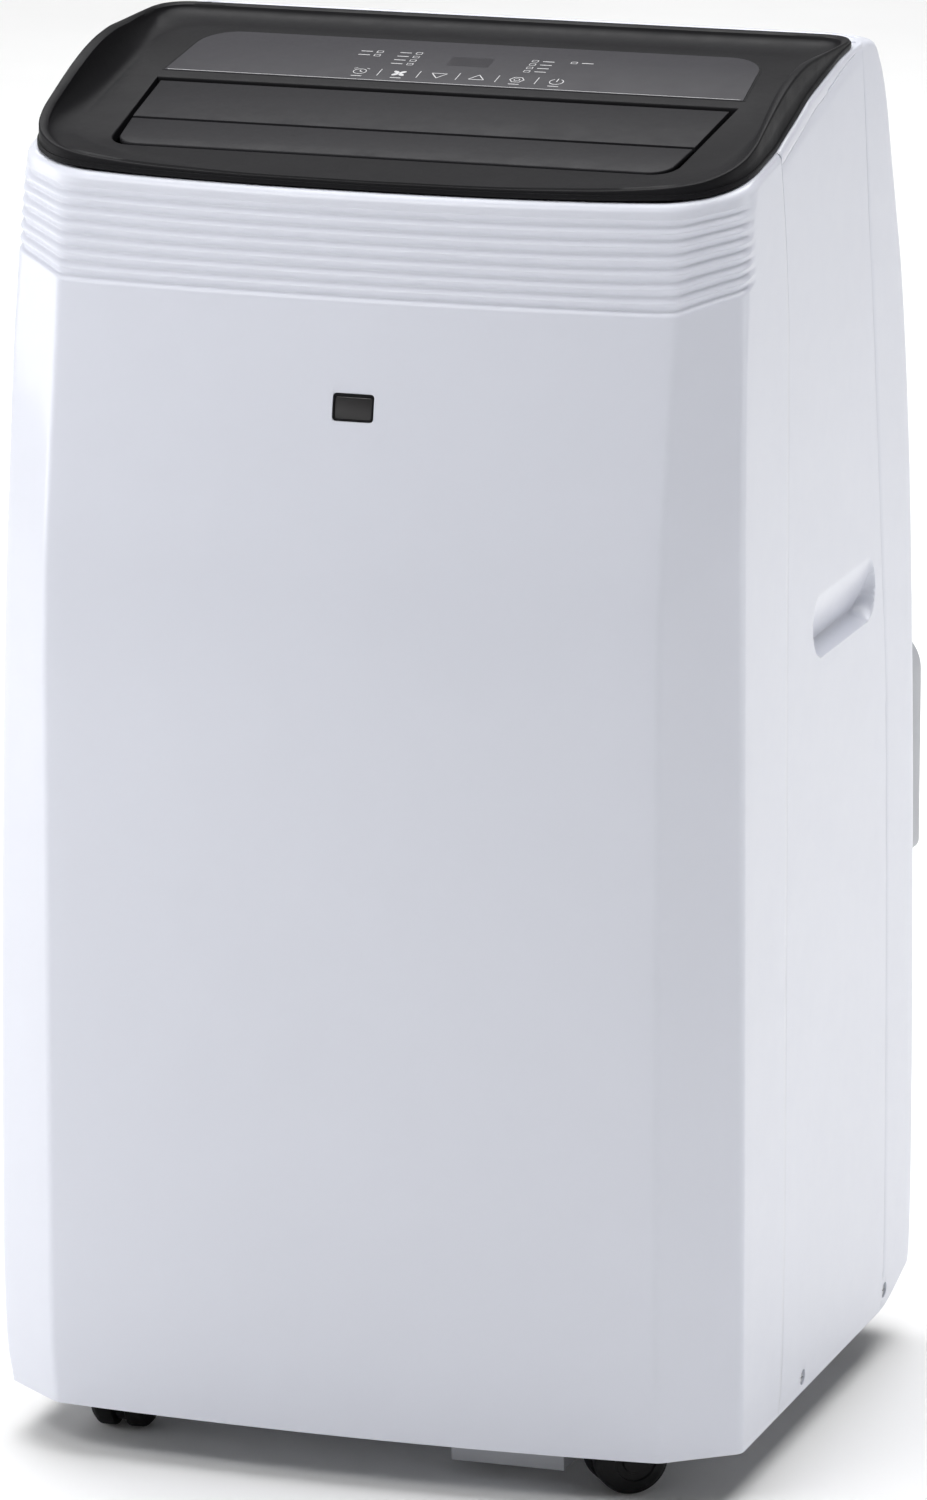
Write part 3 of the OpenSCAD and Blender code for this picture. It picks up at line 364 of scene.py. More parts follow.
def plastic(name, colour, rough, grain=0.01, grain_scale=2600.0, mottle=0.03, coat=0.0, specular=0.5):
    """Moulded plastic: cloudy flow marks in its colour, uneven gloss, and a fine spark-eroded grain."""
    made = Surface(name)
    made.inputs["Specular IOR Level"].default_value = specular
    made.inputs["Coat Weight"].default_value = coat
    made.inputs["Coat Roughness"].default_value = 0.12
    made.spread("Base Color", made.noise(5.0, 4.0, 0.6), shade(colour, 1 - mottle), shade(colour, 1 + mottle))
    made.spread("Roughness", made.noise(70.0, 5.0, 0.65), rough * 0.88, rough * 1.12)
    made.bump(made.noise(grain_scale, 2.0, 0.5), grain)
    return made.material


def metal(name, colour, rough, brush=(1.0, 1.0, 14.0), scale=160.0):
    """Bare or plated metal with drawn or brushed streaks."""
    made = Surface(name)
    made.inputs["Metallic"].default_value = 1.0
    stretch = made.node("Mapping", Scale=brush)
    made.link(made.coords, stretch.inputs["Vector"])
    streaks = made.noise(scale, 4.0, coords=stretch.outputs["Vector"])
    made.spread("Base Color", made.noise(9.0, 5.0, 0.6), shade(colour, 0.86), shade(colour, 1.06))
    made.spread("Roughness", streaks, rough * 0.75, rough * 1.3)
    made.bump(streaks, 0.01)
    return made.material


def banded(name, dark, light, axis, pitch, share=0.5, metallic=0.0, rough=0.4, depth=0.2):
    """Stripes across one axis, such as a coil's fins, with relief; the dark stripes are painted shade, as in
    the gaps between fins.
    """
    made = Surface(name)
    made.inputs["Metallic"].default_value = metallic
    stripes = made.wave(axis, pitch)
    made.spread("Base Color", stripes, dark, light, (share - 0.15, share + 0.15))
    made.spread("Roughness", made.noise(60.0, 4.0), rough * 0.85, rough * 1.15)
    made.bump(stripes, depth)
    return made.material


def circuit(name):
    """Solder mask with lighter copper tracks under it."""
    made = Surface(name)
    tracks = made.node("TexBrick", Scale=90.0, Mortar_Size=0.035, Color1=(0.012, 0.10, 0.035, 1),
                       Color2=(0.016, 0.12, 0.045, 1), Mortar=(0.06, 0.26, 0.10, 1))
    made.link(made.coords, tracks.inputs["Vector"])
    made.link(tracks.outputs["Color"], made.inputs["Base Color"])
    made.spread("Roughness", made.noise(50.0), 0.25, 0.4)
    made.bump(tracks.outputs["Fac"], 0.03)
    return made.material


def woven(name, colour, pitch=1.2):
    """Filter net: crossed threads as relief and colour, with painted shade in the openings between the
    threads.
    """
    made = Surface(name)
    crossed = made.node("Math")
    crossed.operation = "MAXIMUM"
    for k, axis in enumerate(("X", "Z")):
        made.link(made.wave(axis, pitch), crossed.inputs[k])
    threads = crossed.outputs["Value"]
    # The openings between threads are darkened: painted shade
    made.spread("Base Color", threads, shade(colour, 0.25), colour, (0.55, 0.9))
    made.spread("Roughness", made.noise(80.0), 0.5, 0.7)
    made.bump(threads, 0.3)
    return made.material


MATERIALS = {
    "white_plastic": plastic("white_plastic", (0.650, 0.667, 0.739), 0.36, grain=0.004, mottle=0.012,
                             coat=0.25),
    "black_plastic": plastic("black_plastic", (0.0080, 0.0078, 0.0090), 0.46, grain=0.012, mottle=0.10,
                             specular=0.09),
    "overlay_film": plastic("overlay_film", (0.042, 0.041, 0.046), 0.46, grain=0.002, mottle=0.05,
                            specular=0.09),
    "circuit_board": circuit("circuit_board"),
    "window_tint": plastic("window_tint", (0.030, 0.029, 0.030), 0.12, grain=0.001, mottle=0.06, coat=0.4),
    "charcoal_plastic": plastic("charcoal_plastic", (0.0145, 0.0142, 0.0163), 0.50, grain=0.02,
                                mottle=0.08, specular=0.11),
    "natural_nylon": plastic("natural_nylon", (0.60, 0.60, 0.57), 0.48, grain=0.01, mottle=0.04),
    "motor_steel": metal("motor_steel", (0.60, 0.61, 0.63), 0.30),
    # The fins' dark stripes are painted shade for the gaps between them
    "fin_aluminium": banded("fin_aluminium", (0.16, 0.16, 0.17), (0.72, 0.73, 0.75), "X", 1.6, 0.45,
                            metallic=1.0, rough=0.38, depth=0.5),
    "grey_plastic": plastic("grey_plastic", (0.42, 0.43, 0.46), 0.45, grain=0.012, mottle=0.03),
    "black_steel": plastic("black_steel", (0.018, 0.018, 0.019), 0.30, grain=0.02, grain_scale=700.0,
                           mottle=0.12, coat=0.25),
    "copper": metal("copper", (0.78, 0.40, 0.25), 0.28, brush=(1.0, 1.0, 1.0), scale=90.0),
    "soft_rubber": plastic("soft_rubber", (0.020, 0.020, 0.020), 0.72, grain=0.03, grain_scale=1500.0,
                           mottle=0.12),
    "caster_nylon": plastic("caster_nylon", (0.006, 0.006, 0.0065), 0.45, grain=0.015, mottle=0.10,
                            specular=0.2),
    "caster_tyre": plastic("caster_tyre", (0.005, 0.005, 0.0055), 0.60, grain=0.03, grain_scale=1300.0,
                           mottle=0.15, specular=0.2),
}
NET = woven("filter_net", (0.16, 0.16, 0.17))
# Grey print on the overlay; the same material also makes the painted highlight along the overlay's front edge
PRINT_AND_HIGHLIGHT = plastic("panel_print_and_highlight", (0.46, 0.46, 0.47), 0.45, grain=0.003, mottle=0.06)
GASKET = plastic("overlay_gasket", (0.006, 0.006, 0.007), 0.6, grain=0.002, mottle=0.05, specular=0.1)
DISPLAY = plastic("display_tint", (0.031, 0.030, 0.034), 0.30, grain=0.001, mottle=0.05, specular=0.15)


def finish(piece, node, material=None, replaces=True, angle=32):
    """Gives the piece its material, rides it on the node's body, and lets it stand for the node."""
    slot = SLOTS[node]
    piece.data.materials.clear()
    piece.data.materials.append(material or MATERIALS[slot])
    smooth(piece, angle)
    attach(piece, BODIES[node])
    if replaces:
        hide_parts(node)
    return piece


def refined(node, width=0.4, angle=50, material=None, segments=2):
    """Copy of a CAD node with rounded edges, which stands for it."""
    piece = new_piece(node + "_skin", NODES[node].data.copy())
    clean(piece, 0.005, dissolve=0.3)
    bevel(piece, width, angle, segments)
    return finish(piece, node, material)


# ---------------------------------------------------------------- casing
def front_place(part, u, z):
    """Place of a column of the casing's right front half at heights z. part names the stretch of the outline
    that it is on, and u says how far along that stretch."""
    c, e, x = crease_s(z), edge_s(z), side_x(z)
    near, far = crease_fillet(z), edge_fillet(z)
    bow_x = CREASE_X - near
    bow_end = c - FRONT_BOW * (1 - (bow_x / CREASE_X) ** 2)
    run_x, run_s = x - CREASE_X, e - c
    length = np.hypot(run_x, run_s)
    dx, ds = run_x / length, run_s / length
    near_x, near_s = CREASE_X + near * dx, c + near * ds
    far_x, far_s = x - far * dx, e - far * ds
    if part == "bow":
        px = bow_x * u
        return px, c - FRONT_BOW * (1 - (px / CREASE_X) ** 2)
    if part == "crease":
        return bezier(u, bow_x, CREASE_X, near_x), bezier(u, bow_end, c, near_s)
    if part == "chamfer":
        return near_x + u * (far_x - near_x), near_s + u * (far_s - near_s)
    if part == "edge":
        return bezier(u, far_x, x, x), bezier(u, far_s, e, e + far)
    return x, e + far + u * (front_seam(z) - e - far)


def bezier(u, a, b, c):
    return (1 - u) ** 2 * a + 2 * u * (1 - u) * b + u * u * c


def columns_along(stretches):
    """Columns through the stretches of an outline, each given as its name and a number of places."""
    start = [(stretches[0][0], 0.0)]
    return start + [(part, u) for part, count in stretches for u in np.linspace(0, 1, count)[1:]]


# Stretches of the right front half, from the middle to the side's front seam
FRONT_STRETCHES = [("bow", 15), ("crease", 7), ("chamfer", 5), ("edge", 8), ("side", 13)]


def front_grid(columns, height_of, inset_of, rows):
    """Points of the whole front: height_of(row, s) gives heights, inset_of(row, s) how deep a point lies."""
    rows = np.asarray(rows, float)
    half = []
    for part, u in columns:
        z = np.full(len(rows), 640.0)
        for _ in range(4):
            x, s = front_place(part, u, z)
            z = height_of(rows, s)
        x, s = front_place(part, u, z)
        half.append(np.stack([x + 0 * z, s + 0 * z, z], axis=-1))
    half = np.stack(half, axis=1)
    left = half[:, :0:-1].copy()
    left[..., 0] *= -1
    points = np.concatenate([left, half], axis=1)
    run = np.gradient(points[..., :2], axis=1)
    normal = np.stack([run[..., 1], -run[..., 0]], axis=-1)
    normal /= np.linalg.norm(normal, axis=-1, keepdims=True)
    inset = inset_of(np.repeat(rows[:, None], points.shape[1], axis=1), points[..., 1])
    points[..., :2] -= normal * inset[..., None]
    return points


RIB_LOW = 600.0
RIB_TOP = 642.0
RIB_PITCH = 6.56
RIB_RIDGE = 602.3
RIB_DEPTH = 1.9
RIB_END_S = (56, 68)


def rib_lift(s):
    """How much higher the ribs run away from the front's crown."""
    behind = np.maximum(s - 34.0, 0.01)
    return 0.5 * (behind ** -4 + 26.0 ** -4) ** -0.25


# Profile that the casing's upper edge has below the black rim: height from the rim's lower edge, and inset
LIP_LIFT = [-FRAME_H, -6.6, -5.4, -4.4, -3.6, -2.8, -2.0, -1.3, -0.8, -0.5, -0.4, -0.4]
LIP_INSET = [0.0, 0.0, 0.0, 0.0, 0.12, 0.4, 0.85, 1.45, 2.1, 2.8, 3.4, 9.0]


def front_height(w, s):
    """Height of a row of the front: level up to the ribs, which rise towards the sides with the top edge."""
    low = RIB_LOW + rib_lift(s)
    top = rim_low(s) - FRAME_H
    ribbed = low + (w - RIB_LOW) / (RIB_TOP - RIB_LOW) * (top - low)
    plain = w + rib_lift(s) * smoothstep(500, RIB_LOW, w)
    lip = rim_low(s) + np.interp(w - RIB_TOP, np.arange(len(LIP_LIFT)), LIP_LIFT)
    return np.where(w > RIB_TOP, lip, np.where(w > RIB_LOW, ribbed, plain))


def rib_inset(w, s):
    wave = 0.5 - 0.5 * np.sin(2 * math.pi * (w - RIB_RIDGE) / RIB_PITCH + math.pi / 2)
    sharp = np.arcsin(0.96 * (2 * wave - 1)) / math.asin(0.96) * 0.5 + 0.5
    starts = smoothstep(595.8, 598.6, w)
    ribs = RIB_DEPTH * sharp * starts * (1 - smoothstep(*RIB_END_S, s))
    lip = np.interp(w - RIB_TOP, np.arange(len(LIP_INSET)), LIP_INSET)
    return np.where(w > RIB_TOP + 0.01, lip, ribs)


def seam_gap(z):
    return 0.12 + 0.4 * smoothstep(560, 640, z)


def front_panel():
    rows = np.concatenate([[26, 26.8, 29, 34, 42, 52, 64, 80, 100, 125], np.arange(150, 400, 25),
                           np.arange(400, 592, 6), np.arange(593, RIB_TOP, 0.41), RIB_TOP
                           + np.arange(len(LIP_LIFT))])
    points = front_grid(columns_along(FRONT_STRETCHES), front_height, rib_inset, rows)
    # The seam at the side closes up downwards
    gap = seam_gap(points[..., 2])
    points[..., 1] = np.minimum(points[..., 1], front_seam(points[..., 2]) - gap / 2)
    piece = grid_piece("front_panel_skin", points)
    solidify(piece, WALL)
    cut(piece, [prism("cut", WINDOW_HOLE, 40, window_place(-20))])
    bevel(piece, 0.35, 62)
    return finish(piece, "front_panel", angle=38)


WINDOW_Z = 546.0
WINDOW_TILT = math.radians(10.5)
WINDOW_HOLE = rounded_rect(-10.6, 10.6, -6.9, 6.9, 1.9, 1.9)


def window_place(w0):
    """Places an outline drawn round the receiver window's middle, with its depth running inwards."""
    s0 = float(crease_s(WINDOW_Z)) - FRONT_BOW

    def place(u, v, w):
        deep = w + w0
        return (u, s0 + v * math.sin(WINDOW_TILT) + deep * math.cos(WINDOW_TILT),
                WINDOW_Z + v * math.cos(WINDOW_TILT) - deep * math.sin(WINDOW_TILT))
    return place


def receiver_window():
    outer = rounded_rect(-10.35, 10.35, -6.65, 6.65, 1.7, 1.7)
    frame_piece = prism("receiver_frame", outer, 3.0, window_place(-0.12))
    cut(frame_piece, [prism("cut", rounded_rect(-9.5, 9.5, -5.8, 5.2, 1.2, 1.2), 1.4, window_place(-0.6))])
    bevel(frame_piece, 0.15)
    glass = prism("receiver_glass", rounded_rect(-9.4, 9.4, -5.7, 5.1, 1.1, 1.1), 0.5, window_place(0.35))
    bevel(glass, 0.2)
    finish(glass, "receiver_window", replaces=False)
    return finish(frame_piece, "receiver_window", MATERIALS["black_plastic"])


GRIP_S = 217.0
GRIP_Z = 417.5
GRIP_HALF = 56.0
GRIP_R = 16.5
GRIP_DEPTH = 12.0


def grip_inset(s, z):
    """Scoop that deepens downwards to a ledge, with a rounded rear end."""
    along = np.maximum(np.abs(s - GRIP_S) - (GRIP_HALF - GRIP_R), 0)
    inside = GRIP_R - np.hypot(along, z - GRIP_Z)
    down = np.clip((GRIP_Z + GRIP_R - z) / (2 * GRIP_R - 1.5), 0, 1)
    slope = GRIP_DEPTH * (0.12 * down + 0.88 * down ** 1.25)
    steep = 3.2 * inside
    limit = 0.5 * (slope + steep - np.sqrt((slope - steep) ** 2 + 1.2))
    return np.maximum(limit, 0)


# Places of the screws low on each side, as (s, z): in the side panel and in the rear cover
PANEL_SCREW = (148, 34)
COVER_SCREW = (299, 36)
SCREW_HOLE_R = 4.2
SCREW_CUT_X = 190.4


def screw_cut(spot, side):
    """Cutter for the recess round a screw in the side."""
    return prism("cut", disc(*spot, SCREW_HOLE_R), 8, lambda u, v, w: (side * (SCREW_CUT_X + w), u, v))


def side_at(s, z):
    """Half of the width at a distance and height, round the rear corner too."""
    corner = back_s(z) - REAR_R
    past = np.clip(s - corner, 0, REAR_R)
    return side_x(z) - REAR_R + np.sqrt(REAR_R ** 2 - past ** 2)


def side_panel(node, side):
    shares = np.concatenate([[0, 0.003, 0.012, 0.04, 0.09, 0.15, 0.2, 0.24], np.linspace(0.26, 0.93, 92),
                             [0.95, 0.97, 0.985, 0.995, 1]])
    rows = np.concatenate([[26, 26.8, 29, 34, 42, 52, 64, 80, 107, 150, 200, 260, 320, 360, 385, 394],
                           np.arange(397, 404, 0.5), np.arange(404, 440, 1.2),
                           [442, 448, 460, 480, 507, 540, 570]])
    rest = np.linspace(0, 1, 14)[1:]
    z = np.concatenate([rows, rows[-1] + rest * (650 - rows[-1])])[:, None] + 0 * shares[None, :]
    for _ in range(4):
        s = front_seam(z) + shares * (rear_seam(z) - front_seam(z))
        top = rim_low(s) - frame_height(s) - 0.3
        z[len(rows):] = rows[-1] + rest[:, None] * (top[-1] - rows[-1])
    half_gap = seam_gap(z) / 2
    s = np.clip(s, front_seam(z) + half_gap, rear_seam(z) - half_gap)
    x = side_at(s, z) - grip_inset(s, z)
    piece = grid_piece(node + "_skin", np.stack([side * x, s, z], axis=-1), flip=side < 0)
    solidify(piece, WALL)
    cut(piece, [screw_cut(PANEL_SCREW, side)])
    bevel(piece, 0.35, 62)
    return finish(piece, node, angle=38)


def rear_place(part, u, z):
    """Place of a column of the rear cover's right half: along the side, round the corner, along the back."""
    over = np.clip(z - (UNIT_H - SHOULDER_R), 0, SHOULDER_R)
    b, x = back_s(z), side_x(z) - SHOULDER_R + np.sqrt(SHOULDER_R ** 2 - over ** 2)
    centre = b - REAR_R
    seam = rear_seam(z) + seam_gap(z) / 2
    start = np.arcsin(np.clip((seam - centre) / REAR_R, 0, 1))
    if part == "side":
        return x, seam + u * np.maximum(centre - seam, 0)
    if part == "corner":
        a = start + u * (math.pi / 2 - start)
        return x - REAR_R + REAR_R * np.cos(a), centre + REAR_R * np.sin(a)
    return (x - REAR_R) * (1 - u), b + 0 * u


UPPER_MOUTH = (-140, 140, 412, 590)
LOWER_MOUTH = (-128, 128, 64, 236)
OUTLET_BOX = (22, 181, 251, 371)
SPOUT = (-130, 397)
GLAND = (-146, 120)
GLAND_HOLE_R = 6.3
SPOUT_HOLE_R = 8.4


def rear_cover():
    columns = columns_along([("side", 9), ("corner", 15), ("back", 15)])
    rows = np.concatenate([[26, 27, 30, 36, 46, 60, 80, 107, 150, 200, 250, 300, 350, 400],
                           np.arange(420, 690, 10), [690, 692.5, 695, 696.8, 698.2, 699.2, 699.8, 700]])
    half = []
    for part, u in columns:
        low = rear_low(rear_place(part, u, np.array([60.0]))[1])[0]
        z = np.where(rows < 80, low + (rows - SKIRT_Z) / (80 - SKIRT_Z) * (80 - low), rows)
        x, s = rear_place(part, u, z)
        half.append(np.stack([x, s, z - TOP_DROP * smoothstep(660, UNIT_H, z)], axis=-1))
    half = np.stack(half, axis=1)
    piece = clean(grid_piece("rear_cover_skin", both_halves(half)), 0.02)
    solidify(piece, WALL)
    x0, x1, z0, z1 = OUTLET_BOX
    openings = [rounded_rect(*mouth, 5, 5) for mouth in (UPPER_MOUTH, LOWER_MOUTH)]
    openings.append(rounded_rect(x0 - 0.4, x1 + 0.4, z0 - 0.4, z1 + 0.4, 6.4, 23.4))
    cutters = [prism("cut", outline, 80, along_s(CASING_D - 50)) for outline in openings]
    cutters += [prism("cut", disc(x, z, r), 40, along_s(CASING_D - 20))
                for (x, z), r in ((SPOUT, SPOUT_HOLE_R), (GLAND, GLAND_HOLE_R))]
    cutters += [screw_cut(COVER_SCREW, side) for side in (-1, 1)]
    cut(piece, cutters)
    bevel(piece, 0.4, 55)
    return finish(piece, "rear_cover", angle=38)


# Right half of the white frame from the front seam to the middle of the back: its edge under the black rim,
# and its outer edge, each as (x, s)
FRAME_INNER = [(183.6, 112), (183.6, 150), (183.6, 190), (183.6, 225), (183.6, 240), (182.7, 247.6),
               (179.7, 254.8), (174.5, 259.3), (167.8, 261), (150, 261.3), (100, 261.3), (0, 261.3)]
FRAME_OUTER = [(186, 112), (185.8, 150), (185.5, 190), (185.4, 228), (185.3, 248), (185, 262.5),
               (181.2, 273.4), (173.6, 281.6), (164.6, 284.6), (147, 284.7), (98, 284.7), (0, 284.7)]


def smooth_lines(lines, lead, steps):
    """Lines on smooth curves, with steps points to each stretch, spaced as along the leading one."""
    lead = np.array(lead, float)
    reach = np.concatenate([[0], np.cumsum(np.linalg.norm(np.diff(lead, axis=0), axis=1))])
    stretches = [np.linspace(a, b, steps, endpoint=False) for a, b in zip(reach, reach[1:])]
    places = np.concatenate(stretches + [reach[-1:]])
    return [np.stack([curve(list(zip(reach, column)))(places) for column in zip(*line)], axis=-1)
            for line in lines]


def top_frame():
    """White frame from the side panels' upper edges in under the black rim, and across behind it."""
    inner, outer = smooth_lines([FRAME_INNER, FRAME_OUTER], FRAME_INNER, 10)
    (ix, i_s), (ox, o_s) = inner.T, outer.T
    iz = rim_low(i_s) - 0.3
    oz = np.minimum(rim_low(o_s) - frame_height(o_s), UNIT_H - TOP_DROP - 0.3)
    behind = smoothstep(262, 280, o_s)
    oz = oz + behind * (UNIT_H - TOP_DROP - 0.15 - oz)
    start = o_s < 200
    ox = np.where(start, side_x(oz), ox)
    run = np.hypot(ix - ox, i_s - o_s)
    lean = np.minimum(3.4, 0.8 * run)
    drop = np.minimum(2.8, iz - oz)
    rows = [(0 * run, oz), (0 * run, oz + 0.5 * (iz - drop - oz))]
    turn = np.linspace(0, math.pi / 2, 9)
    rows += [(lean * (1 - math.cos(a)), iz - drop * (1 - math.sin(a))) for a in turn]
    rows.append((run, iz))
    rows.append((run + 3.0, iz - 0.1))
    half = []
    for d, z in rows:
        share = d / run
        x, s = ox + (ix - ox) * share, o_s + (i_s - o_s) * share
        half.append(np.stack([x, np.maximum(s, front_seam(z) + seam_gap(z) / 2), z], axis=-1))
    piece = grid_piece("top_frame_skin", both_halves(np.stack(half)))
    solidify(piece, 2.0)
    bevel(piece, 0.3, 62)
    return finish(piece, "top_frame", angle=42)


# ---------------------------------------------------------------- black top
# Right half of the rim's outer edge and of the wall's foot that belongs to it, each as (x, s)
RIM_OUTER = [(0, 36.6), (55, 37.4), (110, 40), (140, 43), (155, 45.7), (166, 49.8), (174, 55.8), (180, 64),
             (183.3, 74), (184.5, 86), (184.5, 110), (184.5, 150), (184.5, 190), (184.5, 225), (184.5, 240),
             (183.6, 248), (180.5, 255.5), (175, 260.2), (168, 262), (150, 262.3), (100, 262.3), (0, 262.3)]
RIM_INNER = [(0, 40), (55, 41), (100, 47), (125, 55), (139, 62), (149, 67), (157, 72.5), (162.5, 79),
             (166, 88), (168, 99), (169.5, 118), (170, 150), (170, 186), (170, 203), (168.2, 214),
             (162.5, 223), (156, 227.2), (150, 228.8), (144, 229.3), (130, 229.4), (95, 229.4), (0, 229.4)]


def rim_lines(steps=6):
    """Outer edge and foot of the wall, as closed rings of matching points that run anticlockwise."""
    halves = smooth_lines([RIM_OUTER, RIM_INNER], RIM_OUTER, steps)
    return [np.concatenate([half, half[-2:0:-1] * (-1, 1)]) for half in halves]


def offset_loop(points, distance):
    """Moves a closed anticlockwise outline outwards."""
    p = np.array(points, float)
    run = np.roll(p, -1, axis=0) - np.roll(p, 1, axis=0)
    normal = np.stack([run[:, 1], -run[:, 0]], axis=-1)
    return p + distance * normal / np.linalg.norm(normal, axis=1, keepdims=True)


def rounded_end(square_end, round_end, r, steps=10):
    """Outline between a square end and a rounded end, each as half of its width and its distance."""
    back = 1 if round_end[1] > square_end[1] else -1
    x, s = round_end[0] - r, round_end[1] - back * r
    turn = np.linspace(0, math.pi / 2, steps)
    half = [square_end] + [(x + r * math.cos(a), s + back * r * math.sin(a)) for a in turn]
    loop = half + [(-px, ps) for px, ps in reversed(half)]
    return loop if back > 0 else loop[::-1]


def top_bezel():
    outer, inner = rim_lines()
    gap = inner - outer
    length = np.linalg.norm(gap, axis=1)
    inwards = gap / length[:, None]
    low, crest, foot = rim_low(outer[:, 1]), crest_z(outer[:, 1]), floor_z(inner[:, 1])
    band = np.minimum(4.6, 0.5 * length)
    shoulder = band + np.minimum(1.4, 0.15 * length)
    # Lower bead, a small ledge above it, the outer face, and the rounded crest
    bead = np.minimum(2.6, crest - low - 1.5)
    near = np.minimum(1.0, length / 9)
    rows = [(near * d, low + h) for d, h in ((4.0, 0.0), (0.25, 0.0), (0.0, 0.25))]
    ledge = ((0.0, -0.25), (0.08, -0.06), (0.25, 0.0), (0.8, 0.05), (0.9, 0.2))
    rows += [(near * d, low + bead + h) for d, h in ledge]
    rows += [(near * 0.9, low + bead + f * (crest - 0.9 - low - bead)) for f in (0.5, 0.95)]
    rows += [(near * d, crest - h) for d, h in ((1.0, 0.6), (1.25, 0.27), (1.6, 0.07), (2.0, 0.0))]
    rows += [(band * 0.75, crest - 0.15), (band, crest - 0.35)]
    edge_z = np.maximum(crest - 1.1, np.minimum(foot, crest + 0.6))
    for a in np.linspace(0, math.pi / 2, 12):
        rows.append((shoulder + (length - shoulder) * (1 - math.cos(a)), edge_z
                     + (foot - edge_z) * math.sin(a)))
    points = np.stack([np.concatenate([outer + inwards * d[:, None], z[:, None]], axis=1) for d, z in rows])

    # Floor with the mouth of the air outlet, whose edge rolls downwards
    mouth = rounded_end(MOUTH_REAR, MOUTH_FRONT, 13)
    lip = [(0.9, 0.0), (0.45, -0.12), (0.12, -0.45), (0.0, -0.9), (0.0, -5.0)]
    loops = []
    for out, down in lip:
        loop = offset_loop(mouth, out)
        loops.append(np.concatenate([loop, (floor_z(loop[:, 1]) + down)[:, None]], axis=1))
    rings, cols = points.shape[:2]
    verts = to_frame(np.concatenate([points.reshape(-1, 3), np.concatenate(loops)]))
    faces = grid_faces(rings, cols, closed=True)
    start = rings * cols
    faces += grid_faces(len(lip), len(mouth), closed=True, start=start)
    piece = piece_from("top_bezel_skin", verts, faces)
    work = bmesh.new()
    work.from_mesh(piece.data)
    work.verts.ensure_lookup_table()
    edge = [work.verts[(rings - 1) * cols + k] for k in range(cols)]
    hole = [work.verts[start + k] for k in range(len(mouth))]
    edges = [work.edges.get((ring[k], ring[(k + 1) % len(ring)])) for ring in (edge, hole)
             for k in range(len(ring))]
    bmesh.ops.triangle_fill(work, edges=edges, use_beauty=True)
    bmesh.ops.recalc_face_normals(work, faces=work.faces)
    work.to_mesh(piece.data)
    work.free()
    up = sum(p.area * p.normal.z for p in piece.data.polygons)
    if up < 0:
        piece.data.flip_normals()
    solidify(piece, 1.5, even=False)
    return finish(piece, "top_bezel", angle=40)


FLOOR_TILT = math.atan(FLOOR_SLOPE)


def on_floor(base_s, height=0.0):
    """Places an outline drawn on the sloping floor, with v measured up the slope from a distance."""
    def place(u, v, w):
        s = base_s + v * math.cos(FLOOR_TILT) - (w + height) * math.sin(FLOOR_TILT)
        z = floor_z(base_s) + v * math.sin(FLOOR_TILT) + (w + height) * math.cos(FLOOR_TILT)
        return u, s, z
    return place


OVERLAY_TOP = 0.4
OVERLAY_GAP = 1.2
DISPLAY_OUTLINE = rounded_rect(-11, 11, 26, 38, 1, 1)



def control_overlay():
    slope = math.cos(FLOOR_TILT)
    front_x, base = OVERLAY_FRONT
    rear_x, rear_s = OVERLAY_REAR

    def outline(more, corner):
        loop = rounded_end((front_x + more, base), (rear_x + more, rear_s + more), corner)
        return [(x, (s - base) / slope) for x, s in loop]
    plate = prism("control_overlay_skin", outline(0, 20), OVERLAY_TOP + 0.8, on_floor(base, -0.8))
    bevel(plate, 0.25)
    finish(plate, "control_overlay")
    surround = prism("overlay_surround", outline(OVERLAY_GAP, 21), 0.5, on_floor(base, -0.4))
    finish(surround, "control_overlay", GASKET, replaces=False)
    glass = prism("display_window", DISPLAY_OUTLINE, 0.06, on_floor(base, OVERLAY_TOP - 0.02))
    finish(glass, "control_overlay", DISPLAY, replaces=False)
    marks = [prism("mark", shape, 0.05, on_floor(base, OVERLAY_TOP)) for shape in overlay_marks()]
    # The bar along the plate's front edge is a painted highlight, standing for light caught by the rounded
    # edge
    edge = front_x - 1.5
    marks.append(prism("mark", bar(-edge, 0.7, edge, 0.7, 0.4), 0.05, on_floor(base, OVERLAY_TOP)))
    return finish(join("panel_marks_and_highlight", marks), "control_overlay", PRINT_AND_HIGHLIGHT, replaces=False)


def bar(x0, v0, x1, v1, t=0.45):
    """Thin stroke between two points."""
    length = math.hypot(x1 - x0, v1 - v0)
    nx, nv = -(v1 - v0) / length * t / 2, (x1 - x0) / length * t / 2
    return [(x0 + nx, v0 + nv), (x0 - nx, v0 - nv), (x1 - nx, v1 - nv), (x1 + nx, v1 + nv)]


def strokes(points, t=0.45, closed=True):
    pairs = zip(points, points[1:] + points[:1]) if closed else zip(points, points[1:])
    return [bar(*a, *b, t) for a, b in pairs]


def circle_points(x, v, r, a0=0, a1=360, steps=16):
    return [(x + r * math.cos(a), v + r * math.sin(a)) for a in np.radians(np.linspace(a0, a1, steps))]


ICON_V = 11.5
ICON_PITCH = 20.6


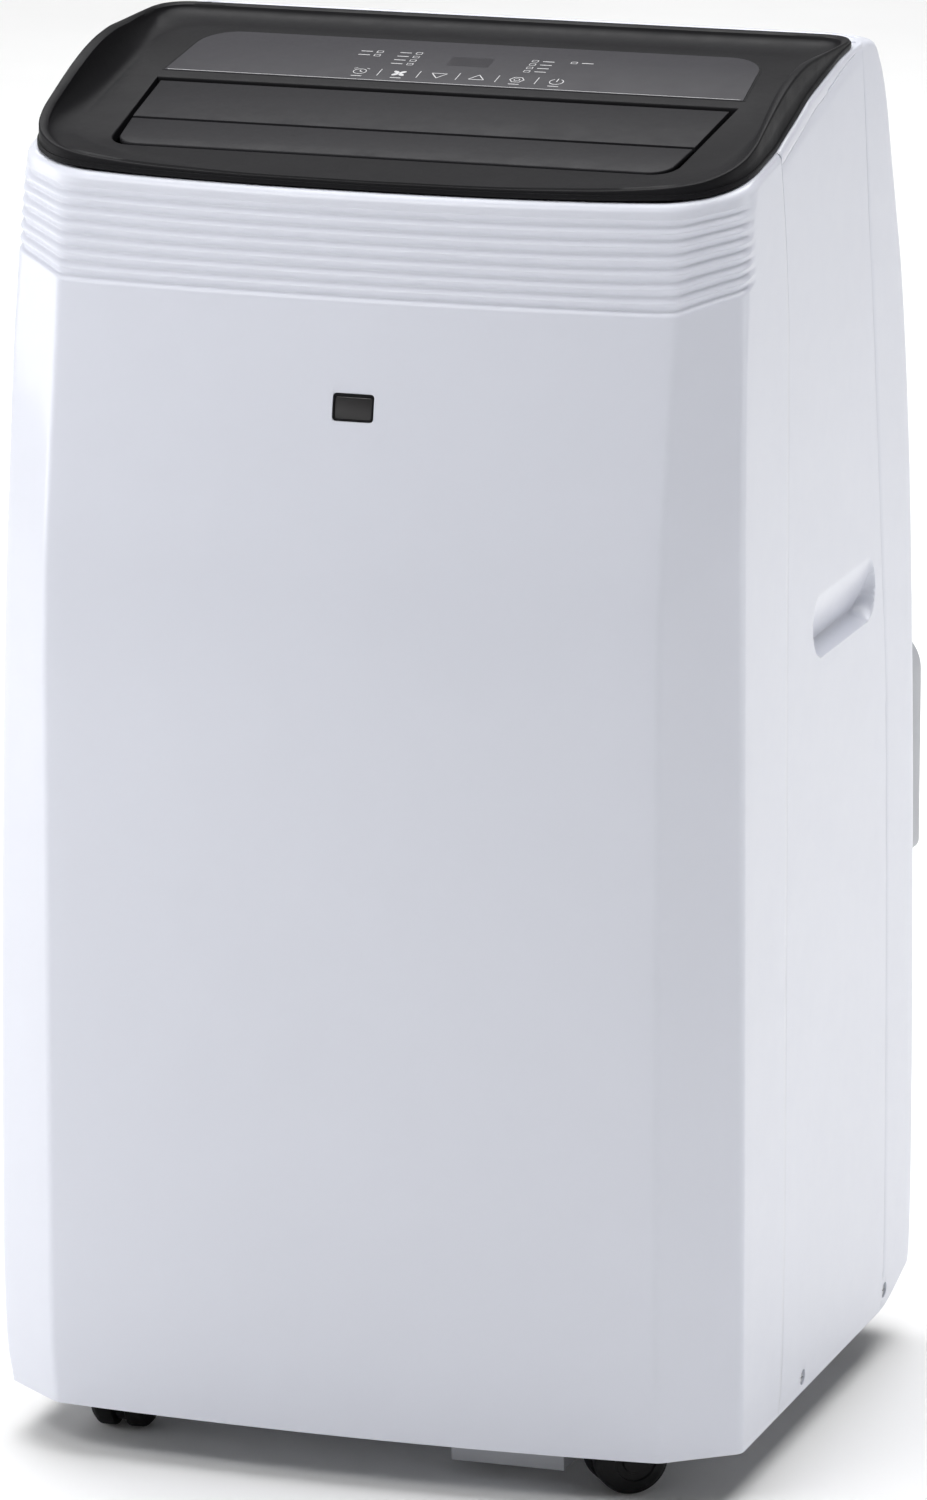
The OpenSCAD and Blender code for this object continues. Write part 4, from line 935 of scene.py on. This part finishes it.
def overlay_marks():
    """Generic symbols above the touch keys, separators, indicator squares and caption bars."""
    marks = []
    xs = [ICON_PITCH * (k - 2.5) for k in range(6)]
    # Clock, four-bladed fan, down, up, mode and power
    marks += strokes(circle_points(xs[0], ICON_V, 3.3, 0, 360, 20), closed=False)
    marks += [bar(xs[0], ICON_V, xs[0], ICON_V + 2.1), bar(xs[0], ICON_V, xs[0] + 1.6, ICON_V - 0.9)]
    marks += [bar(xs[0] - 4.2, ICON_V + 3.6, xs[0] - 2.4, ICON_V + 4.6),
              bar(xs[0] + 4.2, ICON_V + 3.6, xs[0] + 2.4, ICON_V + 4.6)]
    for k in range(4):
        a = math.radians(45 + 90 * k)
        cx, cv = xs[1] + 2.3 * math.cos(a), ICON_V + 2.3 * math.sin(a)
        blade = [(cx + 2.0 * math.cos(t) * math.cos(a) - 1.15 * math.sin(t) * math.sin(a),
                  cv + 2.0 * math.cos(t) * math.sin(a) + 1.15 * math.sin(t) * math.cos(a))
                 for t in np.linspace(0, 2 * math.pi, 14, endpoint=False)]
        marks.append(blade)
    for x, up in ((xs[2], -1), (xs[3], 1)):
        marks += strokes([(x - 4, ICON_V - 2.8 * up), (x + 4, ICON_V - 2.8 * up), (x, ICON_V + 3.6 * up)],
                         0.5)
    marks += strokes([(xs[4] + 3.7 * math.cos(a), ICON_V + 3.7 * math.sin(a))
                      for a in np.radians(np.arange(0, 360, 60))], 0.5)
    marks += strokes(circle_points(xs[4], ICON_V, 1.5, 0, 360, 12), 0.4, closed=False)
    marks += strokes(circle_points(xs[5], ICON_V, 3.5, 118, 422, 20), 0.5, closed=False)
    marks.append(bar(xs[5], ICON_V, xs[5], ICON_V + 4.2, 0.5))
    marks += [bar(x - 2.8, ICON_V - 6.2, x + 2.8, ICON_V - 6.2, 0.7) for x in (xs[0], xs[1], xs[4], xs[5])]
    marks += [bar(ICON_PITCH * k, ICON_V - 4.5, ICON_PITCH * k, ICON_V + 4.5, 0.4) for k in range(-2, 3)]
    # Indicator squares, each with a caption bar on one side
    lamps = [(-50, 39.5, -1), (-50, 34.5, -1)] + [(-29.5, 40 - 5.1 * k, -1) for k in range(4)]
    lamps += [(32.2, 38 - 4.8 * k, 1) for k in range(4)] + [(52.4, 38.5, 1)]
    for x, v, side in lamps:
        marks += strokes([(x - 1.5, v - 1.2), (x + 1.5, v - 1.2), (x + 1.5, v + 1.2), (x - 1.5, v + 1.2)],
                         0.35)
        marks.append(bar(x + side * 4.0, v, x + side * 10.0, v, 0.7))
    return marks


# ---------------------------------------------------------------- back
GRILLE_RIM = 9.0
GRILLE_WALL = 3.0
GRILLE_RIB_HALF = 1.6
SLAT_PITCH = 8.4


def grille(node, mouth, gap=0.6):
    """Intake grille that follows the back wall: a frame, upright ribs, and slanted slats."""
    x0, x1, z0, z1 = mouth[0] + gap, mouth[1] - gap, mouth[2] + gap, mouth[3] - gap
    rim = GRILLE_RIM

    def wall_strip(xa, xb, za, zb):
        z = np.linspace(za, zb, max(2, int((zb - za) / 5)))
        x = np.linspace(xa, xb, 2)
        grid = np.stack([np.repeat(x[None, ::-1], len(z), axis=0), np.repeat(back_s(z)[:, None], 2, axis=1),
                         np.repeat(z[:, None], 2, axis=1)], axis=-1)
        return solidify(grid_piece("strip", grid), GRILLE_WALL)
    parts = [wall_strip(x0, x0 + rim, z0, z1), wall_strip(x1 - rim, x1, z0, z1),
             wall_strip(x0 + rim - 0.01, x1 - rim + 0.01, z0, z0 + rim),
             wall_strip(x0 + rim - 0.01, x1 - rim + 0.01, z1 - rim, z1)]
    ribs = np.linspace(x0 + rim, x1 - rim, 6)[1:-1]
    parts += [wall_strip(x - GRILLE_RIB_HALF, x + GRILLE_RIB_HALF, z0 + rim, z1 - rim) for x in ribs]
    count = int((z1 - z0 - 2 * rim) / SLAT_PITCH)
    slat_start = x0 + rim - 0.5
    for k in range(count):
        z = z0 + rim + (k + 0.5) * (z1 - z0 - 2 * rim) / count
        s = float(back_s(z)) - 0.5
        section = [(s, z - 1.9), (s, z - 0.4), (s - 5.5, z + 3.0), (s - 5.5, z + 1.5)]
        parts.append(prism("slat", section, x1 - x0 - 2 * rim + 1, lambda u, v, w: (slat_start + w, u, v)))
    piece = bevel(join(node + "_skin", parts), 0.35, 50)
    return finish(piece, node)


OUTLET_FLARE = 5.0


def exhaust_outlet():
    """The CAD outlet, with its collar behind the back wall flared towards the side."""
    piece = new_piece("exhaust_outlet_skin", NODES["exhaust_outlet"].data.copy())
    clean(piece, 0.005, dissolve=0.3)
    wall = to_frame((0, CASING_D, 0))[1]
    length = (TOTAL_D - CASING_D) * MM
    for vert in piece.data.vertices:
        past = vert.co.y - wall
        if past > 0:
            share = past / length
            if vert.co.x > 0:
                vert.co.x += share * OUTLET_FLARE * MM * smoothstep(0.10, 0.18, vert.co.x)
    bevel(piece, 0.8, 50, 3)
    return finish(piece, "exhaust_outlet")


BACK_SCREWS = [(-155, 90), (-155, 280), (155, 90), (155, 225), (-155, 390), (155, 395)]


def screws():
    """Round-headed screws with a cross recess, on the back and in the sides' recesses."""
    heads = []
    spots = [((x, float(back_s(z)) + 0.1, z), (0, 1, 0)) for x, z in BACK_SCREWS]
    for side in (-1, 1):
        for s, z in (PANEL_SCREW, COVER_SCREW):
            spots.append(((side * (float(side_x(z)) - WALL + 0.2), s, z), (side, 0, 0)))
    for origin, axis in spots:
        head = lathe("head", [(0, -8), (1.9, -8), (1.9, 0), (3.6, 0), (3.6, 0.5), (3.2, 1.2), (2.2, 1.75),
                              (0, 2.0)], origin, axis, 32)
        way = Vector(axis)
        across = Vector((0, 0, 1))
        third = way.cross(across)
        for a, b in ((across, third), (third, across)):
            recess = prism("recess", [(-2.1, -0.35), (2.1, -0.35), (2.1, 0.35), (-2.1, 0.35)], 3,
                           lambda u, v, w, a=a, b=b, o=origin, way=way: tuple(
                               o[k] + a[k] * u + b[k] * v + way[k] * (w + 0.9) for k in range(3)))
            cut(head, [recess])
        heads.append(head)
    return finish(join("casing_screws_skin", heads), "casing_screws", angle=28)


# ---------------------------------------------------------------- casters
CASTERS = {"fl": (-1, 57, 95), "fr": (1, 57, -143), "rl": (-1, 305, 80), "rr": (1, 305, 100)}
CASTER_X = 140.0
CASTER_R = 19.0
TRAIL = 12.0
HOOD_TOP = 42.5
HOOD_HALF = 17.0
HOOD_GAP = 3.6
HOOD_WALL = 2.0
WEB_T = 5.0
WEB_R = 16


def caster(name):
    """Twin-wheel caster: domed wheels with a tyre ridge, a hood that wraps them, and steel pins."""
    side, s0, angle = CASTERS[name]
    a = math.radians(angle)
    along = Vector((math.cos(a), math.sin(a), 0))
    across = Vector((-math.sin(a), math.cos(a), 0))

    def local(x, y, z):
        return (side * CASTER_X + along.x * x + across.x * y, s0 + along.y * x + across.y * y, z)
    wheel = [(3.1, 3.1), (8, 3.1), (8.6, 3.8), (15.5, 3.8), (16, 3.1), (17.9, 3.1), (18.7, 3.6), (19, 4.6),
             (19, 10.4), (18.8, 11.3), (18.2, 12.3), (17.6, 12.9), (17.2, 13.0), (16.8, 13.6),
             (15.0, 15.0), (12.6, 16.0), (11.0, 16.2), (10.4, 15.2), (7.0, 15.2), (6.5, 16.6), (4.0, 16.9),
             (0, 17.1), (0, 16.4), (3.1, 16.4), (3.1, 3.1)]
    halves = [lathe("wheel", wheel, local(TRAIL, 0, CASTER_R), across * way, 64) for way in (1, -1)]
    finish(join("caster_wheels_%s_skin" % name, halves), "caster_wheels_" + name, angle=35)

    # Hood: a shell swept round the wheels, with rounded shoulders, on a web between them
    arc = np.radians(np.linspace(12, 168, 30))
    across_steps = np.linspace(-1, 1, 21)
    grid = np.zeros((len(arc), len(across_steps), 3))
    for i, t in enumerate(arc):
        for j, y in enumerate(across_steps):
            r = CASTER_R + HOOD_GAP - 2.4 * abs(y) ** 6
            z = CASTER_R + r * math.sin(t)
            grid[i, j] = local(TRAIL + r * math.cos(t), y * HOOD_HALF, min(z, HOOD_TOP))
    shell = grid_piece("hood", grid)
    if sum(p.area * p.normal.z for p in shell.data.polygons) < 0:
        shell.data.flip_normals()
    solidify(shell, HOOD_WALL)

    def upright(u, v, w):
        return local(u, w - WEB_T / 2, v)
    web = prism("web", disc(TRAIL, CASTER_R, WEB_R, 48), WEB_T, upright)
    post_outline = [(-6, WEB_R), (14, WEB_R), (14, HOOD_TOP - 1), (-6, HOOD_TOP - 1)]
    post = prism("post", post_outline, WEB_T, upright)
    boss_profile = [(0, 38.5), (9, 38.5), (9, 42.2), (8.7, 42.5), (0, 42.5)]
    boss = lathe("boss", boss_profile, local(0, 0, 0), (0, 0, 1), 40)
    hood = bevel(join("caster_hood_%s_skin" % name, [shell, web, post, boss]), 0.4, 55)
    finish(hood, "caster_hood_" + name, angle=35)

    stem = lathe("stem", [(0, 38.6), (4, 38.6), (4, 42.5), (5, 42.5), (5, 57.7), (4.2, 58.5), (0, 58.5)],
                 local(0, 0, 0), (0, 0, 1), 32)
    axle = lathe("axle", [(0, -16), (2.6, -16), (3, -15.6), (3, 15.6), (2.6, 16), (0, 16)],
                 local(TRAIL, 0, CASTER_R), across, 32)
    finish(join("caster_pins_%s_skin" % name, [stem, axle]), "caster_pins_" + name, angle=35)


# ---------------------------------------------------------------- the whole unit
front_panel()
receiver_window()
side_panel("right_side_panel", 1)
side_panel("left_side_panel", -1)
rear_cover()
top_frame()
top_bezel()
control_overlay()
grille("upper_grille", UPPER_MOUTH)
grille("lower_grille", LOWER_MOUTH)
screws()
for caster_name in CASTERS:
    caster(caster_name)

refined("louver_front", 0.8, 40, segments=3)
refined("louver_rear", 0.8, 40, segments=3)
for node in ["vane_%d" % k for k in range(1, 6)] + ["vane_link", "louver_link"]:
    refined(node, 0.35)
for node in ("outlet_duct", "base_pan"):
    refined(node, 0.8, segments=3)
exhaust_outlet()
for node in ("drain_spout", "drain_plug", "drain_cap", "cord_gland"):
    refined(node, 0.6, segments=3)

# CAD nodes that stay as they are, with a material of their own
INNER_NODES = ("louver_motor", "cold_motor", "warm_motor", "splash_motor", "electrical_box", "compressor",
               "accumulator", "compressor_grommets", "partition_tray", "warm_scroll", "cold_scroll",
               "cold_fan", "warm_fan", "splash_wheel", "control_board", "evaporator_coil",
               "condenser_coil", "refrigerant_pipes")
inner_materials = {node: MATERIALS[SLOTS[node]] for node in INNER_NODES}
inner_materials.update(upper_filter=NET, lower_filter=NET)
for node, material in inner_materials.items():
    NODES[node].data.materials.clear()
    NODES[node].data.materials.append(material)


# ---------------------------------------------------------------- floor, light and camera
WORLD_STRENGTH = 0.5
# Softboxes: name, place, the point that it faces, width and height, power
SOFTBOXES = [
    ("left", (-3.0, -0.6, 1.3), (0, 0, 0.5), (1.6, 2.4), 45),
    ("upper_left", (-0.6, -1.3, 1.6), (0, 0, 0.5), (0.9, 0.5), 8),
    ("right", (3.2, 0.9, 1.0), (0, 0, 0.3), (1.2, 2.2), 7.2),
    ("right_low", (2.2, 0.2, 0.4), (0, 0, 0.2), (1.0, 0.8), 3.8),
    ("front_high", (0.2, -3.0, 4.2), (0, 0, 0.6), (2.4, 1.6), 13),
    ("overhead", (0.0, 0.2, 4.2), (0, 0.2, 0), (4.0, 2.6), 150),
    ("backdrop", (-0.6, 3.4, 5.6), (-0.6, 3.4, 0), (6.5, 2.8), 300),
]


FLOOR_HALF = 9
CAMERA_PLACE = (1.4109, -4.2755, 1.4323)
CAMERA_TILT = 76.3
CAMERA_TURN = 18.28
FOCAL_LENGTH = 218.98
SENSOR_WIDTH = 36.0


def studio():
    paper = Surface("floor_paper")
    paper.spread("Base Color", paper.noise(3.0), 0.90, 0.93)
    paper.spread("Roughness", paper.noise(40.0), 0.75, 0.85)
    corners = ((-1, -1), (1, -1), (1, 1), (-1, 1))
    verts = [(x * FLOOR_HALF, y * FLOOR_HALF, 0) for x, y in corners]
    ground = piece_from("floor", verts, [(0, 1, 2, 3)])
    ground.data.materials.append(paper.material)

    world = bpy.data.worlds.new("studio")
    bpy.context.scene.world = world
    world.use_nodes = True
    # Pale towards the horizon and dim overhead
    sky = world.node_tree
    direction = sky.nodes.new("ShaderNodeTexCoord")
    parts = sky.nodes.new("ShaderNodeSeparateXYZ")
    ramp = sky.nodes.new("ShaderNodeValToRGB")
    for element, value, place in zip(ramp.color_ramp.elements, (1.0, 0.12), (0.10, 0.42)):
        element.color = (value, value, value, 1)
        element.position = place
    sky.links.new(direction.outputs["Generated"], parts.inputs["Vector"])
    sky.links.new(parts.outputs["Z"], ramp.inputs["Fac"])
    sky.links.new(ramp.outputs["Color"], sky.nodes["Background"].inputs["Color"])
    sky.nodes["Background"].inputs["Strength"].default_value = WORLD_STRENGTH
    bpy.context.scene.view_settings.view_transform = "Standard"

    for name, place, target, size, power in SOFTBOXES:
        light = bpy.data.lights.new(name, "AREA")
        light.shape = "RECTANGLE"
        light.size, light.size_y = size
        light.energy = power
        softbox = bpy.data.objects.new(name, light)
        softbox.location = place
        softbox.rotation_euler = (Vector(target) - Vector(place)).to_track_quat("-Z", "Y").to_euler()
        bpy.context.scene.collection.objects.link(softbox)

    lens = bpy.data.cameras.new("camera")
    lens.lens = FOCAL_LENGTH
    lens.sensor_width = SENSOR_WIDTH
    lens.clip_end = 50
    camera = bpy.data.objects.new("camera", lens)
    camera.location = CAMERA_PLACE
    camera.rotation_euler = (math.radians(CAMERA_TILT), 0, math.radians(CAMERA_TURN))
    bpy.context.scene.collection.objects.link(camera)
    bpy.context.scene.camera = camera


studio()
